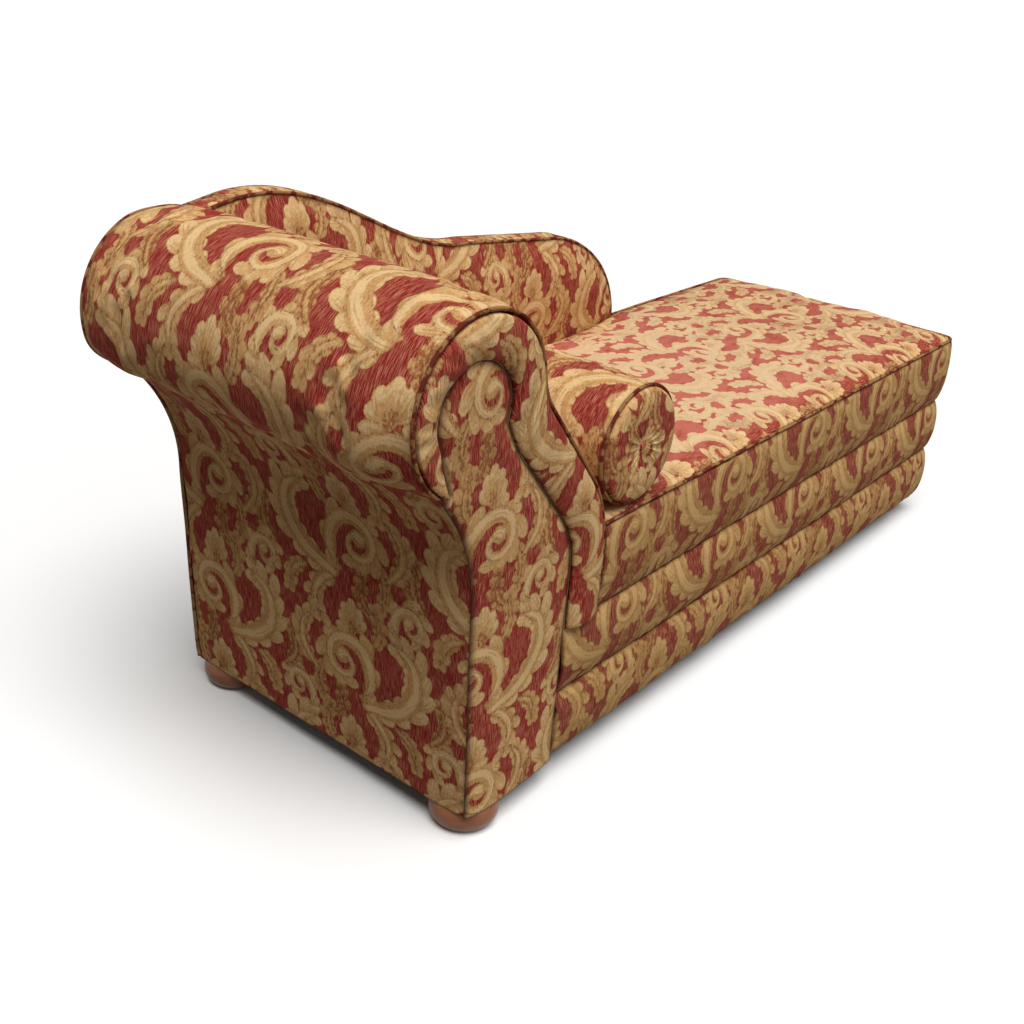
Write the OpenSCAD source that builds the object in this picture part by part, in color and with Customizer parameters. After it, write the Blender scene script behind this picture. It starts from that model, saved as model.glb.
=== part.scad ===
// Fainting couch: a long padded base on four bun feet, a scrolled head end with a pleated facing,
// a serpentine half back along the rear side and a loose bolster at the head.
// Millimetres, +Z up, front towards -Y, head end towards -X, origin on the floor under the middle.

/* [Base] */
// Length from the outside arm cloth to the foot-end cloth
base_l = 1740; // [1500:10:2080]
// Width over the front and rear borders
base_w = 650; // [540:10:780]
// Height of the cloth's lower edge above the floor
hem_h = 47; // [38:1:60]
// Height of the lower padded tier
tier_low_h = 123; // [100:1:150]
// Height of the upper padded tier
tier_up_h = 124; // [100:1:150]
// Height of the seat border, from the upper fold to the top welt
border_h = 154; // [126:1:184]
// Depth of the sewn folds between the tiers
fold_depth = 11; // [8:0.5:14]
// Plan radius of the cloth at the foot-end corners
corner_r = 36; // [32:1:44]
// Rise of the seat's crown above its edges
seat_crown = 22; // [16:1:28]
// Thickness of the seat cover's edge
seat_edge_t = 6; // [4:0.5:8]
// How far the seat's welt lies inside the fullest line of the border
welt_inset = 5; // [4:0.5:6]

/* [Timber frame] */
// Thickness of the base rails
rail_t = 20; // [16:1:23]
// Padding between a rail and the cloth in front of it
pad_t = 25; // [20:1:30]
// Thickness of the plywood scroll boards and back board
board_t = 15; // [12:1:18]
// Drop of the spring deck below the upper fold
deck_drop = 6; // [5.5:0.5:8]
// Side of the square corner blocks
block_w = 60; // [48:1:72]
// Height of the corner blocks
block_h = 180; // [150:5:214]
// Thickness of the cross bearers
bearer_t = 20; // [16:1:24]
// Height of the cross bearers
bearer_h = 100; // [80:5:120]
// Width of a roll batten
batten_w = 36; // [30:1:43]
// Thickness of a roll batten
batten_t = 16; // [13:1:19]

/* [Webbing and linings] */
// Width of a webbing strip
web_w = 50; // [42:1:60]
// Thickness of webbing
web_t = 2; // [1.6:0.1:2.4]
// Thickness of the hessian over the webbing
hessian_t = 1; // [0.8:0.1:1.2]
// Thickness of the dust cover below the frame
dust_t = 1.5; // [1.2:0.1:1.8]
// Thickness of the lining board around the arm
lining_t = 3; // [2.4:0.1:3.6]

/* [Head end] */
// Radius of the scroll roll at its welts
roll_r = 133; // [120:1:144]
// Height of the roll's centre above the floor
roll_z = 724; // [700:1:760]
// Distance of the roll's centre outside the outside arm cloth
roll_out = 25; // [20:1:30]
// How much the roll's radius swells between its ends
roll_swell = 17; // [13:1:21]
// How far the swollen roll sags
roll_sag = 12; // [9:1:15]
// How far the swollen roll leans outwards
roll_lean = 8; // [6:1:10]
// Distance of the arm's inside foot from the outside arm cloth
arm_foot = 300; // [282:2:330]
// Radius of the hollow below the roll on the inside
hollow_r = 110; // [92:1:130]
// Radius of the swell above the seat on the inside
swell_r = 250; // [220:1:262]
// Height where the outside panel starts to flare
neck_z = 420; // [400:1:440]
// How far the outside panel leans out from the hem up to the flare
arm_lean = 17; // [12:1:22]
// Thickness of cloth and wadding on the arm
cloth_t = 10; // [8:0.5:12]
// Thickness of the arm foam
foam_t = 20; // [16:0.5:23]
// Thickness of the outside arm cloth
out_t = 10; // [8:0.5:12]

/* [Scroll facings] */
// Width of the pleated band above the seat
band_w = 85; // [78:1:95]
// Width of the pleated band over the top of the tongue
band_top_w = 60; // [52:1:68]
// Thickness of a facing panel on its board
facing_t = 10; // [8:0.5:12]
// How far the facings stand out past the base
facing_bulge = 8; // [6:0.5:10]
// Number of pleats round the scroll
pleats = 14; // [10:1:18]
// Depth of a pleat at the tongue
pleat_depth = 4; // [3:0.5:5]
// Radius of every welt
welt_r = 4; // [3.2:0.1:4.8]

/* [Back] */
// Distance of the back's end from the outside arm cloth
back_end = 1212; // [1100:5:1400]
// Rise of the serpentine top's peak above the roll
peak_rise = 9; // [6:1:30]
// Height of the serpentine top at its dip
dip_h = 712; // [690:1:760]
// Height of the top where the nose starts
nose_h = 683; // [660:1:700]
// Thickness of the whole back at the seat
back_t = 49; // [44:1:56]
// Crown of the inside back
back_crown = 13; // [10:1:16]
// Thickness of the top band round the back
band_t = 12; // [10:0.5:14]
// Thickness of the wadded cover of the inside back
back_cloth_t = 12; // [10:0.5:14]
// Thickness of the back at the end of its nose
nose_t = 14; // [12.5:0.5:17]

/* [Bolster] */
// Radius of the bolster
bolster_r = 102; // [85:1:121]
// Distance of the bolster's rear welt from the back
bolster_gap = 28; // [25:1:60]
// Distance of the bolster's front welt from the front of the seat
bolster_in = 15; // [12:1:18]
// Thickness of the bolster's cover and wadding
bolster_cover_t = 9; // [7:0.5:11]
// How far a gathered end bulges out
end_bulge = 12; // [9:0.5:15]
// Number of gathers in a bolster end
gathers = 18; // [14:1:22]
// Radius of the covered button
button_r = 11; // [9:0.5:13]

/* [Feet] */
// Greatest radius of a bun foot
foot_r = 56; // [46:1:67]
// Distance of a head-end foot's centre from the two faces of the base
foot_inset = 52; // [51:1:62]
// Distance of a foot-end foot's centre from the two faces of the base
foot_end_inset = 90; // [80:1:96]
// Radius of the hanger bolts
bolt_r = 4; // [3.2:0.1:4.8]
// Length of the hanger bolts
bolt_l = 75; // [62:1:90]

/* [Hidden] */
// Clearance between neighbouring pieces
gap = 0.3;
// Clearance between two curved pieces of cloth that meet at a seam
seam_gap = 0.8;
// Clearance between a bolt and its bore
bolt_gap = 0.2;
// Overrun of a cut past the solid
over = 1;
// Flats of a curved solid
$fn = 64;

// Levels, from the floor up
z_fold2 = hem_h + tier_low_h;
z_fold1 = z_fold2 + tier_up_h;
z_seat = z_fold1 + border_h;
dust_z = hem_h + gap;
frame_z = dust_z + dust_t + gap;
deck_z = z_fold1 - deck_drop;
seat_core_z = z_seat - welt_r - gap;

// Planes across the width
face_y = base_w / 2;
frame_y = face_y - pad_t;
board_y = frame_y + gap + board_t;
facing_y = board_y + gap;
back_in_y = face_y - back_t;
arm_end_y = back_in_y - back_crown - gap;

// Places along the length
frame_x = out_t + gap;
foot_rail_x = base_l - pad_t - gap;
long_rail_end = base_l - corner_r;
arm_tiers_x = arm_foot - band_w;
seat_x = arm_foot + gap;
lining_d = cloth_t + foam_t + lining_t;
tack_rail_x = arm_foot - lining_d - gap - bearer_t;

// Scroll geometry, in the plane of the couch's length and height
roll_c = [-roll_out, roll_z];
roll_start_a = 8;
crease_a = 238;
roll_steps = 20;
roll_step_a = (crease_a - roll_start_a) / roll_steps;
slope_a = 40;
slope_n = [cos(slope_a), sin(slope_a)];
hollow_c = roll_c + (roll_r + hollow_r) * [cos(roll_start_a), sin(roll_start_a)];
swell_x = arm_foot - swell_r;
swell_z = hollow_c[1] - (swell_r + hollow_r + (swell_x - hollow_c[0]) * slope_n[0]) / slope_n[1];
swell_c = [swell_x, swell_z];
crease = roll_c + roll_r * [cos(crease_a), sin(crease_a)];
neck_out = -crease[0] - arm_lean;
neck_r = (pow(neck_out, 2) + pow(crease[1] - neck_z, 2)) / (2 * neck_out);
neck_c = [-arm_lean - neck_r, neck_z];
crease_rise_a = asin((crease[1] - neck_z) / neck_r);

// Tongue of the front facing: a disc a little below and outside the roll's centre
tongue_shift_share = [-0.075, -0.068];
tongue_c = roll_c + roll_r * tongue_shift_share;
tongue_r = roll_r - band_top_w;
tongue_root = roll_c + (roll_r - 2 * welt_r - 7 * gap - cloth_t / 2) * [cos(crease_a + 4), sin(crease_a + 4)];

// Back outline
peak_x_share = 0.1;
dip_x_share = 0.53;
nose_x_share = 0.743;
nose_plan_x_share = 0.767;
board_end_share = 0.907;
foam_end_share = 0.88;
nose_power = 1.6;
plan_power = 2.2;
peak_x = back_end * peak_x_share;
peak_h = roll_z + roll_r + peak_rise;
dip_x = back_end * dip_x_share;
nose_x = back_end * nose_x_share;
nose_plan_x = back_end * nose_plan_x_share;
board_end = back_end * board_end_share;

// Bolster place: it lies on the seat, clear of the arm and of the back
bolster_x_share = 0.293;
bolster_x = arm_foot + bolster_r * (1 - bolster_x_share) + cloth_t + gap;
bolster_y0 = -face_y + bolster_in;
bolster_l = arm_end_y - bolster_gap - bolster_y0;
core_r = bolster_r - bolster_cover_t;

// Where the middle of the whole couch lies along its length
mid_x = (base_l - roll_out - roll_r - roll_swell - roll_lean) / 2;

// Small helpers
function mix(a, b, t) = a + (b - a) * t;
function clamp01(t) = max(0, min(1, t));
function smooth(t) = let (u = clamp01(t)) u * u * (3 - 2 * u);
function reversed(list) = [for (i = [len(list) - 1:-1:0]) list[i]];
function arc(c, r, a0, a1, n) = [for (i = [0:n]) let (a = mix(a0, a1, i / n)) c + r * [cos(a), sin(a)]];

// The lower point where two circles meet, or the nearest point if they miss
function meet_low(c1, r1, c2, r2) =
    let (v = c2 - c1, d = norm(v), u = v / d, a = (r1 * r1 - r2 * r2 + d * d) / (2 * d),
         h = sqrt(max(0, r1 * r1 - a * a)), p = c1 + a * u, q = h * [-u[1], u[0]])
    (p + q)[1] < (p - q)[1] ? p + q : p - q;

// Running length along a line of points, and the same line with n even steps
function lengths(p, i = 0, s = 0) =
    i == len(p) - 1 ? [s] : concat([s], lengths(p, i + 1, s + norm(p[i + 1] - p[i])));
function resample(p, n) =
    let (s = lengths(p), xs = [for (i = [0:len(p) - 1]) [s[i], p[i][0]]],
         ys = [for (i = [0:len(p) - 1]) [s[i], p[i][1]]], total = s[len(s) - 1])
    [for (i = [0:n]) [lookup(total * i / n, xs), lookup(total * i / n, ys)]];

// Unit normal to the left of a line at its point i
function left_normal(p, i) =
    let (v = p[min(i + 1, len(p) - 1)] - p[max(i - 1, 0)]) [-v[1], v[0]] / norm(v);
function inset(p, d) = [for (i = [0:len(p) - 1]) p[i] - d * left_normal(p, i)];

// Scroll line, d inside the cloth: from the inside foot, over the roll, to the crease
function arm_foot_line(d) = concat([[arm_foot - d, z_fold1 + gap]], arc(swell_c, swell_r - d, 0, slope_a, 6));
function arm_hollow_line(d) = arc(hollow_c, hollow_r + d, 180 + slope_a, 180 + roll_start_a, 5);
function arm_roll_line(d) = arc(roll_c, roll_r - d, roll_start_a, crease_a, roll_steps);
function arm_inside_line(d) = concat(arm_foot_line(d), arm_hollow_line(d));
function arm_line(d) = concat(arm_inside_line(d), [for (i = [1:roll_steps]) arm_roll_line(d)[i]]);

// Outside line, d inside the cloth: from a height up the leaning panel and round the neck
function lean_at(z) = arm_lean * (z - hem_h) / (neck_z - hem_h);
function neck_line(d, z, a) = concat([[d - lean_at(z), z], [d - arm_lean, neck_z]], [for (i = [1:7])
    neck_c + (neck_r + d) * [cos(a * i / 7), sin(a * i / 7)]]);

// Whole scroll outline, d inside the cloth on the roll and e inside it on the outside
function arm_outline(d, e, z) =
    concat(neck_line(e, z, crease_rise_a), reversed(arm_line(d)), [[arm_foot - d, z]]);

// Shapes drawn in the plane of length and height, made thick from y0 to y1
module along_y(y0, y1) translate([0, y1, 0]) rotate([90, 0, 0]) linear_extrude(y1 - y0) children();
// Shapes drawn in the plane of width and height, made long from x0 to x1
module along_x(x0, x1) translate([x0, 0, 0]) rotate([90, 0, 90]) linear_extrude(x1 - x0) children();
module block(x0, x1, y0, y1, z0, z1) translate([x0, y0, z0]) cube([x1 - x0, y1 - y0, z1 - z0]);
module place() translate([-mid_x, 0, 0]) children();

// A closed skin over two grids of points with the same rows and columns
module grid_solid(front, back) {
    rows = len(front);
    cols = len(front[0]);
    n = rows * cols;
    points = concat([for (r = front) each r], [for (r = back) each r]);
    function at(i, j) = i * cols + j;
    faces = concat(
        [for (i = [0:rows - 2], j = [0:cols - 2]) each [
            [at(i, j), at(i, j + 1), at(i + 1, j + 1)], [at(i, j), at(i + 1, j + 1), at(i + 1, j)],
            [n + at(i, j), n + at(i + 1, j + 1), n + at(i, j + 1)],
            [n + at(i, j), n + at(i + 1, j), n + at(i + 1, j + 1)]]],
        [for (j = [0:cols - 2], i = [0, rows - 1]) let (a = at(i, j), b = at(i, j + 1))
            each i == 0 ? [[a, n + a, n + b], [a, n + b, b]] : [[a, n + b, n + a], [a, b, n + b]]],
        [for (i = [0:rows - 2], j = [0, cols - 1]) let (a = at(i, j), b = at(i + 1, j))
            each j == 0 ? [[a, n + b, n + a], [a, b, n + b]] : [[a, n + a, n + b], [a, n + b, b]]]);
    polyhedron(points, faces);
}

// A tube of radius r with six sides along points in space, with the side normals and the third axis given
module tube(path, normals, r, across = [0, 1, 0]) {
    sides = 6;
    n = len(path);
    rings = [for (i = [0:n - 1], k = [0:sides - 1]) let (a = 360 * k / sides)
        path[i] + r * (cos(a) * normals[i] + sin(a) * across)];
    function at(i, k) = i * sides + k % sides;
    faces = concat(
        [for (i = [0:n - 2], k = [0:sides - 1]) each [
            [at(i, k), at(i + 1, k + 1), at(i + 1, k)], [at(i, k), at(i, k + 1), at(i + 1, k + 1)]]],
        [[for (k = [sides - 1:-1:0]) at(0, k)], [for (k = [0:sides - 1]) at(n - 1, k)]]);
    polyhedron(rings, faces);
}

// Timber frame
module long_rail(side) color("burlywood")
    block(frame_x, long_rail_end, min(side * frame_y, side * (frame_y - rail_t)),
          max(side * frame_y, side * (frame_y - rail_t)), frame_z, deck_z);
module front_rail() long_rail(-1);
module rear_rail() long_rail(1);
module end_rail(x) color("burlywood")
    block(x, x + rail_t, -frame_y + rail_t + gap, frame_y - rail_t - gap, frame_z, deck_z);
module head_rail() end_rail(frame_x);
module foot_rail() end_rail(foot_rail_x - rail_t);

// Places of the four feet, seen from above
foot_spots = concat([for (y = [-1, 1]) [foot_inset, y * (face_y - foot_inset)]],
                    [for (y = [-1, 1]) [base_l - foot_end_inset, y * (face_y - foot_end_inset)]]);
module corner_blocks() color("tan") for (i = [0:3]) {
    head = i < 2;
    x0 = head ? frame_x + rail_t + gap : foot_rail_x - rail_t - gap - block_w;
    y1 = frame_y - rail_t - gap;
    side = sign(foot_spots[i][1]);
    difference() {
        block(x0, x0 + block_w, side > 0 ? y1 - block_w : -y1, side > 0 ? y1 : -y1 + block_w,
              frame_z, frame_z + block_h);
        translate([foot_spots[i][0], foot_spots[i][1], frame_z - over])
            cylinder(r = bolt_r + bolt_gap, h = bolt_l + over);
    }
}

bearer_shares = [0.36, 0.6, 0.8];
module cross_bearer(x, top) color("burlywood")
    block(x, x + bearer_t, -frame_y + rail_t + gap, frame_y - rail_t - gap, top - bearer_h, top);
module cross_bearers() for (s = bearer_shares) cross_bearer(base_l * s, deck_z - bearer_t);
module seat_end_rail() cross_bearer(tack_rail_x, deck_z);

module scroll_board(y0, y1) along_y(y0, y1) polygon(arm_outline(lining_d + gap, out_t + gap, frame_z));
module scroll_board_rear() color("peru") scroll_board(frame_y + gap, board_y);
module scroll_board_front() color("peru") difference() {
    scroll_board(-board_y, -frame_y - gap);
    block(arm_tiers_x, arm_foot, -face_y, -frame_y, 0, z_fold1);
}

// Battens between the two scroll boards: round the roll, on the slope and at the foot
batten_angles = [22, 67, 112, 157, 202];
module batten() along_y(-frame_y, frame_y) translate([-batten_t, -batten_w / 2]) square([batten_t, batten_w]);
module arm_battens() color("burlywood") {
    inner_r = (roll_r - lining_d) * cos(roll_step_a / 2) - gap;
    for (a = batten_angles)
        translate([roll_c[0], 0, roll_c[1]]) rotate([0, -a, 0])
            translate([sqrt(inner_r * inner_r - batten_w * batten_w / 4), 0, 0]) batten();
    slope_spot = (arm_foot_line(lining_d + gap)[7] + arm_hollow_line(lining_d + gap)[0]) / 2;
    translate([slope_spot[0], 0, slope_spot[1]]) rotate([0, -slope_a, 0]) batten();
    translate([arm_foot - lining_d - gap, 0, z_fold1 + batten_w]) batten();
}

// Webbing, hessian and dust cover
web_count = 9;
web_x0 = tack_rail_x + bearer_t + web_w / 2;
web_x1 = foot_rail_x - rail_t - web_w / 2;
module cross_webbing() color("khaki") for (i = [0:web_count - 1])
    translate([mix(web_x0, web_x1, i / (web_count - 1)) - web_w / 2, -frame_y, deck_z + gap])
        cube([web_w, 2 * frame_y, web_t]);
long_web_share = 0.5;
long_web_z = deck_z + 2 * gap + web_t;
module long_webbing() color("khaki") for (s = [-1, 0, 1])
    translate([tack_rail_x, s * frame_y * long_web_share - web_w / 2, long_web_z])
        cube([foot_rail_x - tack_rail_x, web_w, web_t]);
hessian_z = long_web_z + web_t + gap;

// Plan outline inside the borders, with the foot-end corners cut back
function plan_corners(x0, x1, y0, y1, cut) = [
    [x0, y0], [x1 - cut, y0], [x1, y0 + cut], [x1, y1 - cut], [x1 - cut, y1], [x0, y1]];
module seat_hessian() color("wheat") translate([0, 0, hessian_z]) linear_extrude(hessian_t)
    polygon(plan_corners(tack_rail_x, foot_rail_x, -frame_y, frame_y, corner_r - pad_t));
module dust_cover() color("dimgray") translate([0, 0, dust_z]) linear_extrude(dust_t) difference() {
    polygon(plan_corners(frame_x, foot_rail_x, -frame_y, frame_y, corner_r - pad_t));
    for (p = foot_spots) translate(p) circle(r = bolt_r + bolt_gap);
}

// Arm: lining board, foam and cover, each a layer round the scroll
module arm_layer(d0, d1) along_y(-board_y, board_y) polygon(concat(arm_line(d0), reversed(arm_line(d1))));
module arm_lining() color("sienna") arm_layer(cloth_t + foam_t + gap, lining_d);
module arm_foam() color("lightyellow") difference() {
    arm_layer(cloth_t + gap, cloth_t + foam_t);
    back_notch();
}

// Room for the back at the rear end of the arm, right of the roll's middle
module back_notch() block(-roll_out - gap, base_l, arm_end_y, face_y, hem_h, roll_z + 2 * roll_r);

// The cover swells between the two facings, most on the roll, not at the seat or the crease.
// The roll's rear end stays nearly as full as its middle, left of the back
cover_steps = [0, 0.045, 0.1, 0.2, 0.4, 0.6, 0.8, 0.9, 0.955, 1];
swell_zone = 75;
inside_swell_share = 0.55;
function end_fade(y, zone) = smooth(min((board_y + y) / zone, (board_y - y) / zone));
rear_full_share = 0.85;
function roll_turn(p) = let (v = p - roll_c, a = atan2(v[1], v[0])) a < -90 ? a + 360 : a;
function roll_bulge(p) =
    let (v = p - roll_c) smooth((crease_a - roll_turn(p)) / 45) * (roll_swell * v / norm(v) - [roll_lean, roll_sag]);
function rear_share(p) = rear_full_share * smooth((roll_turn(p) - 90) / 25);
function rear_line(line) =
    [for (p = line) p[0] < roll_c[0] && p[1] > crease[1] - welt_r ? p + rear_share(p) * roll_bulge(p) : p];
function inside_bulge(p) =
    smooth((p[1] - z_seat - 2 * seat_edge_t) / swell_r * 2) * roll_swell * inside_swell_share * slope_n;
function cover_point(p, i, y) =
    let (on_roll = i >= len(arm_inside_line(0)) - 1,
         b = on_roll ? roll_bulge(p) * smooth((board_y + y) / swell_zone)
                         * mix(rear_share(p), 1, smooth((board_y - y) / swell_zone))
                     : inside_bulge(p) * end_fade(y, swell_zone) * smooth((back_in_y - y) / swell_zone))
    p + b;
module arm_cover() color("indianred") difference() {
    outer = arm_line(0);
    inner = arm_line(cloth_t);
    n = len(outer) - 1;
    ys = [for (s = cover_steps) mix(-board_y, board_y, s)];
    grid_solid([for (y = ys) [for (i = [0:n]) let (q = cover_point(outer[i], i, y)) [q[0], y, q[1]]]],
               [for (y = ys) [for (i = [0:n]) [inner[i][0], y, inner[i][1]]]]);
    back_notch();
}
module outside_arm_cover() color("indianred") along_y(-board_y, board_y) difference() {
    polygon(concat(neck_line(0, hem_h, crease_rise_a), reversed(neck_line(out_t, hem_h, crease_rise_a))));
    polygon(arc(roll_c, roll_r + gap, roll_start_a, roll_start_a + 360, 32));
}

// Facings. A pad between two lines, flat on its board and crowned outside: it keeps the points of the right line
function crown(t) = 1 - pow(2 * t - 1, 4);
module strip_pad(left, right, side, edge_t, rise, cols) {
    rows = len(right) - 1;
    l = resample(left, rows);
    function spot(i, j) = mix(l[i], right[i], j / cols);
    function row(i, flat) = [for (j = [0:cols]) let (p = spot(i, j),
        t = flat ? 0 : edge_t + rise * crown(j / cols)) [p[0], side * (facing_y + t), p[1]]];
    front = [for (i = [0:rows]) row(i, false)];
    back = [for (i = [0:rows]) row(i, true)];
    if (side < 0) grid_solid(reversed(front), reversed(back)); else grid_solid(front, back);
}
tongue_edge_t = 4;
neck_stop_a = crease_rise_a - 3;
tongue_join = meet_low(tongue_c, tongue_r, hollow_c, hollow_r + band_w);
tongue_join_a = atan2(tongue_join[1] - tongue_c[1], tongue_join[0] - tongue_c[0]);
hollow_join_a = 180 + atan2(hollow_c[1] - tongue_join[1], hollow_c[0] - tongue_join[0]);
function tongue_inside(e, z) = concat([[arm_tiers_x + e, z]], arc(swell_c, swell_r - band_w + e, 0, slope_a, 6),
    arc(hollow_c, hollow_r + band_w - e, 180 + slope_a, hollow_join_a, 4));
function tongue_disc(e, a0, a1, n) = arc(tongue_c, tongue_r + e, a0, a1, n);
function upright(x, z0, z1) = [for (i = [0:3]) [x, mix(z0, z1, i / 4)]];
function tongue_right() = concat(upright(arm_tiers_x - seam_gap, hem_h, z_fold1),
    tongue_inside(-seam_gap, z_fold1), tongue_disc(-seam_gap, tongue_join_a + 4, 87, 7));
function tongue_left() = concat(neck_line(0, hem_h, neck_stop_a), [tongue_root], tongue_disc(-seam_gap, 180, 93, 8));
module tongue_facing() color("indianred")
    strip_pad(tongue_left(), tongue_right(), -1, tongue_edge_t, facing_t - tongue_edge_t - gap, 6);

// The band's crown stands out past the base, and pleats draw it in at the tongue
function band_inner() = concat(tongue_inside(seam_gap, z_fold1 + gap), tongue_disc(seam_gap, tongue_join_a + 6, 176, 14),
    [tongue_root + [-4 * seam_gap, 0]]);
function band_outer() = arm_line(2 * welt_r + gap);
band_outer_t = 2 * welt_r;
module pleated_band() {
    rows = 70;
    cols = 5;
    o = resample(band_outer(), rows);
    n = resample(band_inner(), rows);
    function lift(i, t) =
        let (fan = smooth((i / rows - 0.3) * 5) * smooth((1 - i / rows) * 8),
             fold = pleat_depth * fan * t * t * (0.5 - 0.5 * cos(360 * pleats * i / rows)))
        mix(band_outer_t, tongue_edge_t, t) + (facing_t + facing_bulge - gap - band_outer_t / 2 - tongue_edge_t / 2)
            * sin(180 * t) - fold * (1 - t * 0.6);
    function row(i, flat) = [for (j = [0:cols]) let (t = j / cols, p = mix(o[i], n[i], t))
        [p[0], -facing_y - (flat ? 0 : max(over, lift(i, t))), p[1]]];
    color("indianred") grid_solid([for (i = [0:rows]) row(i, false)], [for (i = [0:rows]) row(i, true)]);
}
module rear_scroll_facing() color("indianred") {
    d = 2 * (welt_r + seam_gap);
    left = concat(neck_line(0, hem_h, neck_stop_a), [tongue_root],
                  rear_line(arc(roll_c, roll_r - d, crease_a - 6, 93, 10)));
    right = concat(upright(arm_foot - d, hem_h, z_fold1), arm_inside_line(d),
                   arc(roll_c, roll_r - d, roll_start_a + 6, 87, 7));
    strip_pad(left, right, 1, band_outer_t, facing_t + facing_bulge - gap - band_outer_t, 6);
}

// Welts round the scroll ends
module scroll_welt(p, y) color("darkred")
    tube([for (q = p) [q[0], y, q[1]]],
         [for (i = [0:len(p) - 1]) let (n = left_normal(p, i)) [-n[0], 0, -n[1]]], welt_r);
module front_scroll_welt() scroll_welt(arm_line(welt_r), -facing_y - welt_r);
module rear_scroll_welt() scroll_welt(rear_line(arm_line(welt_r)), facing_y + welt_r);

// Padded tiers and seat border: one outline run along the front, the foot end and the rear
function tier_outline(z0, z1) = concat([[0, z0]], [for (i = [0:8]) let (t = i / 8)
    [pad_t - gap - fold_depth * pow(2 * t - 1, 2), mix(z0, z1, t)]], [[0, z1]]);
function border_outline(z0, z1) = concat([[0, z0]], [for (i = [0:10]) let (t = 2 * i / 10 - 1)
    [pad_t - gap - (t < 0 ? fold_depth : welt_inset) * t * t, mix(z0, z1, i / 10)]], [[0, z1]]);
module wrap_band(outline, front_x, rear_x) {
    inner = frame_y + gap;
    half = face_y - corner_r;
    for (side = [-1, 1]) {
        along_x(side < 0 ? front_x : rear_x, long_rail_end) polygon([for (p = outline) [side * (inner + p[0]), p[1]]]);
        translate([long_rail_end, side * half, 0]) rotate([0, 0, side < 0 ? -90 : 0]) rotate_extrude(angle = 90)
            polygon([for (p = outline) [corner_r - pad_t + gap + p[0], p[1]]]);
    }
    along_y(-half, half) polygon([for (p = outline) [base_l - pad_t + gap + p[0], p[1]]]);
}
module lower_tier() color("indianred")
    wrap_band(tier_outline(hem_h, z_fold2 - gap), arm_tiers_x + gap, back_end + gap);
module upper_tier() color("indianred")
    wrap_band(tier_outline(z_fold2, z_fold1 - gap), arm_tiers_x + gap, back_end + gap);

module seat_border() color("indianred")
    wrap_band(border_outline(z_fold1, seat_core_z), seat_x, back_end + gap);

// Plan of the back's inside face: it eases out to the rear face along the nose
function back_plan_y(x) = back_in_y + (back_t - nose_t) * pow(clamp01((x - nose_plan_x) / (back_end - nose_plan_x)), plan_power);
nose_steps = [for (i = [0:6]) mix(nose_plan_x, back_end, i / 6)];
module seat_foam() color("lightyellow") translate([0, 0, z_fold1 + gap])
    linear_extrude(seat_core_z - z_fold1 - gap) {
        cut = corner_r - pad_t;
        polygon(concat([[seat_x, -frame_y], [foot_rail_x - cut, -frame_y], [foot_rail_x, -frame_y + cut],
            [foot_rail_x, frame_y - cut], [foot_rail_x - cut, frame_y], [back_end + gap, frame_y]],
            reversed([for (x = nose_steps) [x + gap, min(back_plan_y(x), frame_y) - seam_gap]]),
            [[seat_x, back_in_y - seam_gap]]));
    }

// Crowned top of the seat, drawn down to its welt along the front, the foot end and the rear
seat_rise_share = 0.35;
seat_top_z = seat_core_z + gap;
seat_corner_r = corner_r - welt_inset - 2 * welt_r - gap;
seat_end = long_rail_end + seat_corner_r;
seat_end_zone = 6 * seat_crown;
function end_crown(x) = 1 - pow(clamp01(1 - (seat_end - x) / seat_end_zone), 4);
function seat_height(x, t) = seat_edge_t
    + seat_crown * smooth((x - seat_x) / (base_l - seat_x) / seat_rise_share) * crown(t) * end_crown(x);
seat_steps = [0, 0.06, 0.12, 0.2, 0.3, 0.4];
seat_xs = concat([for (s = seat_steps) mix(seat_x, base_l, s)],
                 [for (i = [1:6]) mix(nose_plan_x, back_end, i / 6)],
                 [back_end + welt_r, mix(back_end, long_rail_end, 0.4), mix(back_end, long_rail_end, 0.75)],
                 [for (a = [-30, 0, 30, 50, 70, 90]) long_rail_end + seat_corner_r * sin(a)]);
function seat_edge_y(x) = face_y - corner_r + sqrt(max(0, pow(seat_corner_r, 2) - pow(max(0, x - long_rail_end), 2)));
module seat_top_cover() {
    cols = 10;
    function y_at(x, t) = mix(-seat_edge_y(x), x > back_end ? seat_edge_y(x) : back_plan_y(x) - seam_gap, t);
    function row(x, top) = [for (j = [0:cols]) let (t = j / cols)
        [x, y_at(x, t), seat_top_z + (top ? seat_height(x, t) : 0)]];
    color("indianred") grid_solid(reversed([for (x = seat_xs) row(x, true)]),
                                  reversed([for (x = seat_xs) row(x, false)]));
}

// Welt round the seat's top edges: along the front, the foot end and the rear
module seat_welts() color("darkred") {
    r = corner_r - welt_inset - welt_r;
    half = face_y - corner_r;
    z = seat_core_z + gap + welt_r;
    path = concat([[seat_x, -half - r]], [for (i = [0:6]) [long_rail_end, -half] + r * [sin(15 * i), -cos(15 * i)]],
                  [for (i = [0:6]) [long_rail_end, half] + r * [cos(15 * i), sin(15 * i)]], [[back_end + gap, half + r]]);
    tube([for (p = path) [p[0], p[1], z]],
         [for (i = [0:len(path) - 1]) let (n = left_normal(path, i)) [n[0], n[1], 0]], welt_r, [0, 0, 1]);
}

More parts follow.
